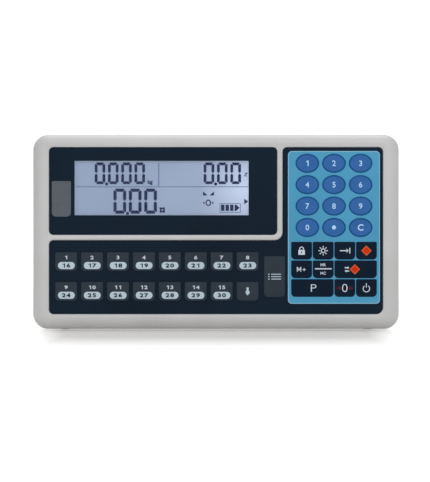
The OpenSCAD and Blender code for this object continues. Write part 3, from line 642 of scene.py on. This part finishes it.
# %% [markdown]
# The front housing is one moulding with a round edge, two sunk panels and the rib between them.
# A modelling program would bevel a box, but here every outline is known, so it is built face by
# face: the round edge is a stack of rings, the flat areas are sheets with openings, and a step or
# a bevel leads from the front into each panel. The case's base is a plane that isn't square to the
# face, so every ring's points are lifted to that plane where they fall below it.

# %% Rings of the case
CASE_HALF_W = 150.6
CASE_H = 160.0
CORNER_R = 12.5
CROWN_R = 5.0
EDGE_DEPTH = 8.0
EDGE_SIDE = 11.0
EDGE_LOW = 11.1
EDGE_TOP = 8.4
INNER_TILT = math.radians(-15)
OUTER_TILT = math.radians(58)
ROLL_SHARE = 0.93
CASE_ARC = 14
WALL_T = 2.8
BASE_CUT = 6.0
SPLIT = 16.0
TAN_LEAN = UP[1] / UP[2]


def above_base(ring, depth, inset=0.0):
    """Ring lifted to the base plane, which lies at (depth - BASE_CUT) * tan(lean), plus the inset."""
    ring[:, 1] = np.maximum(ring[:, 1], (depth - BASE_CUT) * TAN_LEAN + inset / UP[2])
    return ring


def case_ring(depth, inset=0.0):
    """Ring of the straight part of the case at a depth, pulled in by inset."""
    case = rectangle(-CASE_HALF_W, CASE_HALF_W, 0, CASE_H, CORNER_R, CORNER_R)
    return above_base(outline(case, inset, CASE_ARC), depth, inset)


def roll_profile():
    """Shares of the reach and depths of the rolled bezel, from the panels out to the side.

    Its tilt grows evenly with the way outwards, so the depth is R * -ln(cos tilt), where R is the
    width over the change of tilt. A round of r then closes it: r * (sin tilt - sin start) outwards
    and r * (cos start - cos tilt) deeper, with r from the depth that is left.
    """
    width = ROLL_SHARE * EDGE_SIDE
    tilt = np.linspace(INNER_TILT, OUTER_TILT, 16)
    out = width * (tilt - INNER_TILT) / (OUTER_TILT - INNER_TILT)
    deep = -width / (OUTER_TILT - INNER_TILT) * np.log(np.cos(tilt))
    last = np.linspace(OUTER_TILT, math.pi / 2, 7)[1:]
    left = (EDGE_DEPTH - deep[-1]) / math.cos(OUTER_TILT)
    out = np.append(out, width + left * (np.sin(last) - math.sin(OUTER_TILT)))
    deep = np.append(deep, deep[-1] + left * (math.cos(OUTER_TILT) - np.cos(last)))
    return 1 - out / out[-1], deep


def edge_ring(share, depth):
    """Ring of the bezel: each side of the case comes in by that share of its own reach."""
    side, radius = CASE_HALF_W - EDGE_SIDE * share, CORNER_R - (CORNER_R - CROWN_R) * share
    case = rectangle(-side, side, EDGE_LOW * share, CASE_H - EDGE_TOP * share, radius, radius)
    return above_base(outline(case, 0, CASE_ARC), depth), depth


# %% Front housing
DISPLAY_LIP = [(-1.75, 0.0), (-1.35, 0.3), (-0.35, 0.38), (0.0, 1.0)]
KEYPAD_LIP = [(-0.8, 0.0), (-0.6, 0.1), (0.0, 1.0)]
LIP_DEPTH = 1.2
DISPLAY_FLOOR = 1.7
LENS_LEDGE = 2.9
DISPLAY_BACK = 4.1
KEYPAD_FLOOR = 3.1
FACE_BACK = 5.5
LENS_MARGIN = 1.3
SIGHT_MARGIN = 0.3
HOLDER_MARGIN = 3.8
SIDE_LEDGE = 1.0
TAIL_SLOT = (64.7, 84.7, 65.0, 67.3)
BOSS = {"radius": 4.2, "pilot_r": 1.5, "end": 15.6}
POST = {"radius": 3.2, "pilot_r": 1.25, "end": 11.9}
STUDS = [dict(x=x, u=u, **BOSS) for x in (-134.6, 134.6) for u in (15, 145)]
STUDS += [dict(x=x, u=78, **POST) for x in (-121.4, 40.5, 121.4)]
STUDS += [dict(x=x, u=140, **POST) for x in (40.5, 121.4)]
STUD_SIDES = 32


def panel_lip(corners, profile, land):
    """Edge from the land's depth down to a panel's film: the profile's insets, and its depths as
    shares of the step that is left."""
    step = LIP_DEPTH - land
    return bands(*[(outline(corners, inset), land + share * step) for inset, share in profile])


def stud(x, u, radius, pilot_r, end):
    """Screw boss behind the face: its wall, its ring-shaped end, and its pilot hole."""
    body, pilot = circle(x, u, radius, STUD_SIDES), circle(x, u, pilot_r, 16)
    return [
        wall(body, FACE_BACK, end),
        sheet_region(body, [pilot], end),
        wall(pilot, end, FACE_BACK),
        sheet_region(pilot, [], FACE_BACK),
    ]


def window_ring(margin):
    """Square-cornered ring round the window, a margin outside it."""
    return outline(rectangle(*WINDOW.values(), SMALL, SMALL), -margin, 1)


def make_front_housing():
    """Closed shell: round edge, flat front, lips, panels with their openings, back and skirt."""
    edge = [edge_ring(share, depth) for share, depth in zip(*roll_profile())]
    land = edge[0][1]
    skirt = [(case_ring(depth), depth) for depth in np.linspace(EDGE_DEPTH, SPLIT, 5)[1:]]
    lens_seat = window_ring(LENS_MARGIN)
    sight = window_ring(SIGHT_MARGIN)
    holder_seat = window_ring(HOLDER_MARGIN)
    side_sight = outline(side_window_corners, SIDE_LEDGE)
    tail_slot = outline(rectangle(*TAIL_SLOT, SMALL, SMALL), 0, 1)
    display, keypad = outline(display_corners), outline(keypad_corners)
    rims = [outline(display_corners, DISPLAY_LIP[0][0]), outline(keypad_corners, KEYPAD_LIP[0][0])]
    stud_rings = [circle(row["x"], row["u"], row["radius"], STUD_SIDES) for row in STUDS]
    inner = [(case_ring(depth, WALL_T), depth) for depth in np.linspace(FACE_BACK, SPLIT, 4)]
    parts = [
        bands(*edge, *skirt),
        sheet_region(edge[0][0], rims, land),
        panel_lip(display_corners, DISPLAY_LIP, land),
        panel_lip(keypad_corners, KEYPAD_LIP, land),
        wall(display, LIP_DEPTH, DISPLAY_FLOOR),
        wall(keypad, LIP_DEPTH, KEYPAD_FLOOR),
        sheet_region(display, [lens_seat, side_sight], DISPLAY_FLOOR),
        wall(lens_seat, DISPLAY_FLOOR, LENS_LEDGE),
        sheet_region(lens_seat, [sight], LENS_LEDGE),
        wall(sight, LENS_LEDGE, DISPLAY_BACK),
        sheet_region(holder_seat, [sight], DISPLAY_BACK),
        wall(holder_seat, DISPLAY_BACK, FACE_BACK),
        wall(side_sight, DISPLAY_FLOOR, FACE_BACK),
        sheet_region(keypad, [tail_slot], KEYPAD_FLOOR),
        wall(tail_slot, KEYPAD_FLOOR, FACE_BACK),
        sheet_region(inner[0][0], [holder_seat, side_sight, tail_slot, *stud_rings], FACE_BACK),
        bands(*inner),
        sheet_region(skirt[-1][0], [inner[-1][0]], SPLIT),
    ]
    for row in STUDS:
        parts += stud(**row)
    piece = make_piece("front_case", joined(parts), [HOUSING], replaces=("front_housing",))
    print("front case faces:", len(piece.data.polygons), "open edges:", len(border_edges(piece)))
    print("depth of the land beside the panels in mm:", round(float(land), 3))


def border_edges(piece):
    """Edges of a piece that don't lie between exactly two faces."""
    shape = bmesh.new()
    shape.from_mesh(piece.data)
    found = [edge.index for edge in shape.edges if len(edge.link_faces) != 2]
    shape.free()
    return found


make_front_housing()

# %% [markdown]
# The CAD nodes that show from outside, such as the rear housing and the sockets, have the right
# shape but come as loose triangles, which would show every facet. A copy with its doubles merged
# takes smooth shading, and weighting each corner's normal by the area of its faces keeps the flat
# sides flat up to the start of their rounds.

# %% Smooth copies of the outer CAD pieces
OUTER_NODES = [
    "rear_housing", "load_cell_socket", "serial_socket", "power_jack", "case_screws",
    "rubber_feet", "bracket_inserts",
]
SOFT_ANGLE = 28


def smooth_copy(node):
    """Merged and smoothed copy of a CAD node, which stands for it."""
    points, faces = surface_of(frame["nodes"][node].data)
    slot = slot_of(node)
    piece = make_piece(f"{node}_smooth", (points, faces), [NODE_FINISH[slot]],
                       replaces=(node,), smooth=SOFT_ANGLE)
    weigh = piece.modifiers.new("weighted_normals", "WEIGHTED_NORMAL")
    weigh.keep_sharp = True
    print(node, "points before and after merging:", len(points), len(piece.data.vertices))


for outer_node in OUTER_NODES:
    smooth_copy(outer_node)

# %% [markdown]
# The display's digits are segments of ink just in front of its glass. A seven-segment digit is
# four upright bars and up to three level ones, each with mitred ends so that neighbours meet in a
# thin diagonal gap. One function lays a bar between two corners of the digit, and a short list
# says which bars a nought lights.

# %% Ink shapes
def ink_shape(ring, holes, front, back):
    """Thin solid of one flat ink shape."""
    return film([(ring, holes, 0)], ring, holes, front, back)[:2]


def bar(x0, u0, x1, u1, width):
    """Four corners of a straight stroke of that width between two points."""
    start, end = np.array([x0, u0]), np.array([x1, u1])
    along = (end - start) / np.linalg.norm(end - start)
    side = np.array([-along[1], along[0]]) * width / 2
    return np.array([start - side, end - side, end + side, start + side])


def arc_band(across, up, radius, width, start, end, steps=24):
    """Ring of a curved stroke: out along the outer arc and back along the inner one."""
    a = np.radians(np.linspace(start, end, steps))
    ray = np.stack([np.cos(a), np.sin(a)], axis=1)
    outer = ray * (radius + width / 2)
    inner = ray[::-1] * (radius - width / 2)
    return np.concatenate([outer, inner]) + [across, up]


NOUGHT = [
    ((0, 1), (1, 1)), ((1, 0), (0, 0)), ((0, 0), (0, 0.5)),
    ((0, 0.5), (0, 1)), ((1, 0.5), (1, 0)), ((1, 1), (1, 0.5)),
]
CORNER_REACH = 0.1
SLACK = 0.16


def segment(first, last, box, thick):
    """Six-sided bar between two corners of a digit's inner frame, shortened by SLACK. Its outer
    side, on the left of its way, runs on towards a corner but stays pointed half way up."""
    x0, x1, u0, u1 = box
    corner = np.array([x0, u0]) + thick / 2
    room = np.array([x1 - x0, u1 - u0]) - thick
    start, end = corner + room * first, corner + room * last
    along = (end - start) / np.linalg.norm(end - start)
    side = np.array([-along[1], along[0]]) * thick / 2
    start, end = start + along * SLACK, end - along * SLACK
    reach = along * thick / 2
    near, far = (1 if point[1] == 0.5 else CORNER_REACH for point in (first, last))
    return np.array([start, start + reach - side, end - reach - side, end,
                     end - far * reach + side, start + near * reach + side])


# %% Ink on the display glass
GLASS_FRONT = 4.2
GLASS_BACK = 7.0
GLASS_MARGIN = 2.0
GLASS_CUT = 0.3
INK_FRONT = 4.1
INK_BACK = 4.24
RULE_U = 117.0
RULE_X = -47.1
RULE_W = 0.55
POST_W = 0.75
POINT_R = 1.3
DIGIT_ROWS = [
    {"x0": -99.8, "pitch": 10.9, "width": 8.7, "u0": 119.2, "u1": 137.0, "count": 4, "thick": 2.35},
    {"x0": -10.2, "pitch": 11.0, "width": 8.8, "u0": 119.2, "u1": 137.0, "count": 3, "thick": 2.35},
    {"x0": -84.4, "pitch": 12.65, "width": 10.5, "u0": 94.9, "u1": 115.5, "count": 3, "thick": 2.65},
]
BATTERY_BARS = (4.1, 19.0, 97.2, 102.3)
BAR_W = 2.9
TIP_W = 1.4
BATTERY_FRAME = rectangle(3.0, 20.3, 95.7, 103.4, 0.8, 0.8)
STEADY_ZERO = (-6.35, 103.8)
TRIANGLES = np.array([
    [(-10.7, 109.9), (-6.9, 109.9), (-10.7, 113.2)],
    [(-5.4, 109.9), (-1.6, 109.9), (-1.6, 113.2)],
    [(-10.4, 102.4), (-9.0, 103.8), (-10.4, 105.2)],
    [(-3.6, 103.8), (-2.2, 102.4), (-2.2, 105.2)],
    [(23.2, 102.5), (26.5, 104.9), (23.2, 107.3)],
])


def row_of_noughts(x0, pitch, width, u0, u1, count, thick):
    """A row of noughts from the left, with a decimal point after the first."""
    rings = []
    for place in range(count):
        left = x0 + place * pitch
        rings += [segment(*ends, (left, left + width, u0, u1), thick) for ends in NOUGHT]
    point_x = x0 + (pitch + width) / 2
    return rings + [circle(point_x, u0 + 0.15, POINT_R, 16)]


def battery_mark(x0, x1, u0, u1):
    """Three bars and a pointed one, side by side, as a full battery."""
    *lefts, left = np.linspace(x0, x1, 5)[:-1]
    bars = [outline(rectangle(x, x + BAR_W, u0, u1, 0.1, 0.1)) for x in lefts]
    neck = left + TIP_W
    tip = [(left, u0), (neck, u0), (x1 + 0.4, (u0 + u1) / 2), (neck, u1), (left, u1)]
    return bars + [np.array(tip)]


def on_glass(shapes):
    """Solids of ink on the glass, from rings and their holes."""
    return [ink_shape(ring, holes, INK_FRONT, INK_BACK) for ring, holes in shapes]


def make_display():
    """Glass with its glow, dark segments and symbols, and faint rules between the fields."""
    glass = rectangle(*WINDOW.values(), 1.0, 1.0)
    steps = [(GLASS_CUT, GLASS_BACK), (0, GLASS_BACK - GLASS_CUT), (0, GLASS_FRONT + GLASS_CUT),
             (GLASS_CUT, GLASS_FRONT)]
    surface = loft([at_depth(outline(glass, cut - GLASS_MARGIN), depth) for cut, depth in steps])
    make_piece("display_glass", surface, [LIT_GLASS], replaces=("lcd_glass",))
    rings = [ring for row in DIGIT_ROWS for ring in row_of_noughts(**row)]
    rings += [*battery_mark(*BATTERY_BARS), *TRIANGLES]
    ring, hole = (oval(*STEADY_ZERO, half_w, half_w + 0.4, sides=24) for half_w in (2.3, 1.35))
    shapes = on_glass([(ring, []) for ring in rings] + [(ring, [hole])])
    for word, height, x, u in (("kg", 4.4, -54.2, 120.6), ("¤", 5.0, -44.2, 97.9)):
        shapes.append(lettering(word, height, x, u, INK_FRONT, INK_BACK, 0.04))
    shapes.append(lettering("/kg", 2.9, 24.6, 127.0, INK_FRONT, INK_BACK, upright=True))
    make_piece("display_ink", joined(shapes), [SEGMENT_INK])
    print("ink shapes on the display:", len(shapes))
    faint = on_glass([
        (bar(-115.0, RULE_U, 26.4, RULE_U, RULE_W), []),
        (bar(RULE_X, RULE_U + 0.5, RULE_X, 136.4, POST_W), []),
        (outline(BATTERY_FRAME), [outline(BATTERY_FRAME, 0.5)]),
    ])
    make_piece("display_rules", joined(faint), [FAINT_INK])


# %% [markdown]
# Blender's own font is set as text, made a mesh, and only then placed, because a text object's
# place has to be in its mesh. The type is fitted to a height in millimetres, so the size of the
# print doesn't depend on the font's own units.

# %% Lettering
def lettering(text, height, across, up, front, back, bold=0.02, upright=False, wide=1.0):
    """Solid type: each point's place on the page scaled to the height, its layer set to a depth."""
    curve = bpy.data.curves.new("type", "FONT")
    curve.body = text
    curve.align_x = "CENTER"
    curve.extrude = 0.1
    curve.offset = bold
    curve.resolution_u = 5
    holder = new_object("type", curve)
    graph = bpy.context.evaluated_depsgraph_get()
    mesh = bpy.data.meshes.new_from_object(holder.evaluated_get(graph))
    points, faces = surface_of(mesh)
    bpy.data.objects.remove(holder)
    bpy.data.curves.remove(curve)
    bpy.data.meshes.remove(mesh)
    low, high = points.min(axis=0), points.max(axis=0)
    page = (points[:, :2] - (low[:2] + high[:2]) / 2) * height / (high[1] - low[1]) * [wide, 1]
    if upright:
        page = page[:, ::-1] * [-1, 1]
    depth = np.where(points[:, 2] > 0, front, back)
    return on_face(across + page[:, 0], depth, up + page[:, 1]), faces


make_display()

# %% [markdown]
# A legend is a thin layer of ink that rides on its key's body. It starts a little inside the key,
# so it never floats. Signs are drawn from circles, strokes and arrows, and figures are type. The
# one, the M and the plus have outlines of their own, as the font draws them unlike printed ones.

# %% Key legends
LEGEND_FRONT = KEY_CROWN - 0.03
LEGEND_BACK = KEY_CROWN + 0.06
PILL = rectangle(-6.7, 7.1, -6.15, -0.35, 2.85, 2.85)
SHIFT = len(PRESET_KEYS)


def drawn(key, shapes, layer=0.0):
    """Ink shapes of a key, from rings (with holes) placed about the key's middle."""
    middle = key_plan(key)[:2]
    return [
        ink_shape(ring + middle, [hole + middle for hole in holes], LEGEND_FRONT - layer, LEGEND_BACK)
        for ring, holes in shapes
    ]


def typed(key, text, height, x=0.0, u=0.0, bold=0.02, layer=0.0, wide=1.0):
    """Type on a key, placed about the key's middle."""
    across, up = key_plan(key)[:2] + [x, u]
    return [lettering(text, height, across, up, LEGEND_FRONT - layer, LEGEND_BACK, bold, wide=wide)]


OWN_SHAPES = {
    "1": [(0.03, -0.5), (0.22, -0.5), (0.22, 0.5), (0.07, 0.5), (-0.2, 0.33), (-0.2, 0.15),
          (0.03, 0.28)],
    "M": [(-0.45, -0.5), (-0.29, -0.5), (-0.29, 0.16), (-0.05, -0.3), (0.05, -0.3), (0.29, 0.16),
          (0.29, -0.5), (0.45, -0.5), (0.45, 0.5), (0.27, 0.5), (0.0, -0.02), (-0.27, 0.5),
          (-0.45, 0.5)],
    "+": [(-0.07, -0.37), (0.07, -0.37), (0.07, -0.12), (0.32, -0.12), (0.32, 0.02), (0.07, 0.02),
          (0.07, 0.27), (-0.07, 0.27), (-0.07, 0.02), (-0.32, 0.02), (-0.32, -0.12), (-0.07, -0.12)],
}
DIGIT_STEP = 0.8


def figures(key, number, height, u=0.0, bold=0.02, layer=0.0, wide=1.0, step=DIGIT_STEP):
    """Signs side by side, spaced by a share of their height. Some have a shape of their own, such
    as a one with a flag, and the rest are type."""
    parts = []
    for place, digit in enumerate(number):
        x = (place - (len(number) - 1) / 2) * step * height * wide
        if digit in OWN_SHAPES:
            ring = np.array(OWN_SHAPES[digit]) * [wide * height, height] + [x, u]
            parts += drawn(key, [(ring, [])], layer)
        else:
            parts += typed(key, digit, height, x, u, bold, layer, wide)
    return parts


def make_legend(key, name, parts, finish=WHITE_INK):
    """One piece of ink on a key, which moves with the key."""
    make_piece(f"{key}_{name}", joined(parts), [finish], key)


def label_number_keys():
    """Figures, a point and a C in near white on the oval keys."""
    signs = {key: figures(key, key[-1], height=4.6, bold=0.015) for key in OVAL_KEYS[:10]}
    signs["key_point"] = drawn("key_point", [(circle(0, 0, 1.7), [])])
    signs["key_clear"] = typed("key_clear", "C", height=5.3, bold=0.025)
    for key, sign in signs.items():
        make_legend(key, "figure", sign, FIGURE_INK)


def label_preset_keys():
    """A number above, and a dark number on a pale pill below, on each preset key."""
    pill = [(outline(PILL), [])]
    for number, key in enumerate(PRESET_KEYS, start=1):
        upper = figures(key, str(number), height=3.0, u=3.3, bold=0.03, wide=1.4)
        make_legend(key, "number", upper, WHITE_INK)
        make_legend(key, "pill", drawn(key, pill), PILL_INK)
        shifted = figures(key, str(number + SHIFT), height=3.4, u=-3.25, bold=0.042, layer=0.02, wide=1.4)
        make_legend(key, "shifted_number", shifted, DARK_INK)


def diamond(x, u, half):
    """Ring of a square that stands on its corner."""
    return np.array([(x + half, u), (x, u + half), (x - half, u), (x, u - half)])


def arrow(x0, x1, u, thick, head):
    """Ring of an arrow from x0 to x1, with its head at x1."""
    neck = x1 - math.copysign(head, x1 - x0)
    return np.array([(x0, u - thick), (neck, u - thick), (neck, u - head), (x1, u),
                     (neck, u + head), (neck, u + thick), (x0, u + thick)])


def label_function_keys():
    """White marks and red diamonds on the dark keys."""
    make_legend("key_price", "mark", typed("key_price", "P", height=6.1, x=1.0, bold=-0.01, wide=1.2))
    make_legend("key_zero", "mark", typed("key_zero", "0", height=6.7, bold=-0.01, wide=1.1))
    arrows = [(arrow(-6.9, -2.9, 0, 0.35, 1.6), []), (arrow(6.9, 2.9, 0, 0.35, 1.6)[::-1], [])]
    make_legend("key_zero", "arrows", drawn("key_zero", arrows), ROSE_INK)
    power = [(arc_band(0, -0.5, 2.7, 0.7, 125, 415), []), (bar(0, 0.4, 0, 3.9, 0.7), [])]
    make_legend("key_power", "mark", drawn("key_power", power))
    make_legend("key_memory_add", "mark", figures("key_memory_add", "M+", height=4.0, step=1.05))
    recall = figures("key_memory_recall", "MR", height=2.4, u=3.7, step=1.0)
    recall += figures("key_memory_recall", "MC", height=2.4, u=-3.2, step=1.0)
    recall += drawn("key_memory_recall", [(bar(-6.9, 0.45, 6.9, 0.45, 1.0), [])])
    make_legend("key_memory_recall", "mark", recall)
    rays = [(circle(0, 0, 1.95), [circle(0, 0, 1.2)])]
    for step in range(8):
        ray = np.array([math.cos(step * math.pi / 4), math.sin(step * math.pi / 4)])
        rays.append((bar(*(2.4 * ray), *(3.9 * ray), 0.75), []))
    make_legend("key_light", "mark", drawn("key_light", rays))
    lock = [(outline(rectangle(-2.7, 2.7, -3.4, 0.6, 0.5, 0.5)), [circle(0, -1.3, 0.6, 16)])]
    lock += [(arc_band(0, 1.4, 1.6, 0.8, 0, 180), []), (bar(1.6, 0.5, 1.6, 1.5, 0.8), []),
             (bar(-1.6, 0.5, -1.6, 1.5, 0.8), [])]
    make_legend("key_fixed", "mark", drawn("key_fixed", lock))
    hand = [(arrow(-4.0, 3.2, 0, 0.45, 1.8), []), (bar(4.1, -2.3, 4.1, 2.3, 0.9), [])]
    make_legend("key_manual", "mark", drawn("key_manual", hand))
    for key, x in (("key_total", 0.0), ("key_tare", -0.6)):
        border = [(diamond(x, 0, 4.2), [diamond(x, 0, 3.4)])]
        core = [(diamond(x, 0, 3.4), [])]
        make_legend(key, "diamond_edge", drawn(key, border), ORANGE_INK)
        make_legend(key, "diamond", drawn(key, core), RED_INK)
    swap = [(arrow(-8.9, -5.3, 1.35, 0.5, 1.25), []), (arrow(-5.3, -8.9, -1.35, 0.5, 1.25)[::-1], [])]
    make_legend("key_tare", "arrows", drawn("key_tare", swap))


def label_grey_keys():
    """A broad arrow that points down on the shift key, and three lines on the list key."""
    down = np.array([(-0.9, 3.3), (-0.9, 0.2), (-1.6, 0.2), (-1.6, -1.6), (0, -3.3), (1.6, -1.6),
                     (1.6, 0.2), (0.9, 0.2), (0.9, 3.3)])
    make_legend("key_shift", "mark", drawn("key_shift", [(down, [])]), PILL_INK)
    lines = []
    for u in (-2.0, 0.0, 2.0):
        lines += [(bar(-2.6, u, 5.4, u, 0.7), []), (circle(-4.6, u, 0.55, 16), [])]
    make_legend("key_list", "mark", drawn("key_list", lines), PILL_INK)


label_number_keys()
label_preset_keys()
label_function_keys()
label_grey_keys()

# %% [markdown]
# The room is a plain studio: a pale floor, one large soft lamp high in front, a weaker one above
# and a little behind, and an even sky. The camera looks square on to the leaning face, from far
# away, as the photograph does. A camera ray that meets the floor also sees some added light, so the
# ground goes to white. Near the case that added light is held back, so the shade round it is the
# object's own shadow plus painted shade in a patch whose size the glow sets. A strip of painted
# light lies right under the case, over the dark gap beneath it.

# %% Floor
WARM_PAPER = (0.845, 0.825, 0.79, 1.0)
# No glow near the case and more beyond these reaches makes a patch of painted shade round the case. The glow right
# under the case is painted light over the dark gap beneath it.
NEAR_GLOW = 0.0
FAR_GLOW = 0.85
PAINTED_SHADE_SIDE_REACH = (0.125, 0.18)
PAINTED_SHADE_FRONT_REACH = (0.06, 0.223)
UNDER_CASE_PAINTED_LIGHT = 0.65
UNDER_CASE_LIGHT_REACH = (0.012, 0.033)


def seen_directly(tree):
    """One for rays from the camera, gloss and glass, and nought for the rays that light things."""
    rays = tree.nodes.new("ShaderNodeLightPath").outputs
    mirrored = two_numbers(tree, "MAXIMUM", rays["Is Glossy Ray"], rays["Is Transmission Ray"])
    return two_numbers(tree, "MAXIMUM", rays["Is Camera Ray"], mirrored)


def floor_glow(tree):
    """Glow that is small close to the case and grows to the rest of the floor, which leaves a patch of
    painted shade round the case on top of its own shadow.

    It is the larger of two ramps, one along the distance to the side of the middle and one along
    the distance in front of or behind it, plus painted light right under the case over the dark gap
    beneath it.
    """
    axes = axes_of(tree, tree.nodes.new("ShaderNodeTexCoord").outputs["Object"])
    aside = two_numbers(tree, "ABSOLUTE", axes["X"], 0.0)
    ahead = two_numbers(tree, "ABSOLUTE", axes["Y"], 0.0)
    wide = spread(tree, aside, NEAR_GLOW, FAR_GLOW, *PAINTED_SHADE_SIDE_REACH)
    deep = spread(tree, ahead, NEAR_GLOW, FAR_GLOW, *PAINTED_SHADE_FRONT_REACH)
    # Painted light right under the case, over its dark gap.
    foot = spread(tree, ahead, UNDER_CASE_PAINTED_LIGHT, 0.0, *UNDER_CASE_LIGHT_REACH)
    return two_numbers(tree, "ADD", two_numbers(tree, "MAXIMUM", wide, deep), foot)


def studio_floor():
    """Wide floor that looks whiter to rays from the camera, glass and gloss."""
    mesh = bpy.data.meshes.new("floor")
    mesh.from_pydata([(-6, -6, 0), (6, -6, 0), (6, 8, 0), (-6, 8, 0)], [], [(0, 1, 2, 3)])
    floor = new_object("floor", mesh)
    finish = bpy.data.materials.new("floor_paper")
    tree, surface = bare_tree(finish, "ShaderNodeOutputMaterial")
    paper = feed(tree, tree.nodes.new("ShaderNodeBsdfDiffuse"), Color=WARM_PAPER)
    strength = two_numbers(tree, "MULTIPLY", seen_directly(tree), floor_glow(tree))
    glow = feed(tree, tree.nodes.new("ShaderNodeEmission"), Strength=strength)
    both = tree.nodes.new("ShaderNodeAddShader")
    for socket, source in zip(both.inputs, (paper, glow)):
        tree.links.new(source.outputs[0], socket)
    tree.links.new(both.outputs["Shader"], surface)
    mesh.materials.append(finish)


studio_floor()

# %% Sky and lamps
COOL_SKY = (0.93, 0.96, 1.0, 1.0)
SKY_STRENGTH = 0.5


def studio_sky():
    """Even sky light, and plain white where the camera, gloss or glass looks past the floor."""
    world = bpy.data.worlds.new("sky")
    bpy.context.scene.world = world
    tree, surface = bare_tree(world, "ShaderNodeOutputWorld")
    light = feed(tree, tree.nodes.new("ShaderNodeBackground"), Color=COOL_SKY, Strength=SKY_STRENGTH)
    white = feed(tree, tree.nodes.new("ShaderNodeBackground"), Color=(1.0, 1.0, 1.0, 1.0))
    mix_shaders(tree, seen_directly(tree), light, white, surface)


def soft_lamp(name, place, target, size, power):
    """Square soft lamp that faces its target."""
    light = bpy.data.lights.new(name, "AREA")
    light.size = size
    light.energy = power
    lamp = new_object(name, light)
    lamp.location = place
    lamp.rotation_euler = (Vector(target) - Vector(place)).to_track_quat("-Z", "Y").to_euler()
    print(name, "watts:", power)


studio_sky()
soft_lamp("front_lamp", place=(0.15, -1.8, 1.5), target=(0, 0, 0.08), size=1.3, power=21)
soft_lamp("top_lamp", place=(0.0, 0.6, 1.5), target=(0, 0, 0.0), size=1.4, power=13)

# %% Camera
VIEW_W = 353.6
VIEW_X = -0.82
VIEW_U = 72.4
VIEW_FAR = 6.0


def studio_camera():
    """Camera on the face's own normal: lens = sensor width * distance / width of the view."""
    data = bpy.data.cameras.new("camera")
    data.sensor_fit = "HORIZONTAL"
    data.sensor_width = 36
    data.lens = data.sensor_width * VIEW_FAR / (VIEW_W * MM)
    camera = new_object("camera", data)
    bpy.context.scene.camera = camera
    place = on_face(VIEW_X, 0.0, VIEW_U) - INTO * VIEW_FAR
    camera.location = place
    camera.rotation_euler = Vector(INTO).to_track_quat("-Z", "Y").to_euler()
    print("lens in mm:", round(data.lens, 1))


studio_camera()
bpy.context.scene.view_settings.view_transform = "Standard"
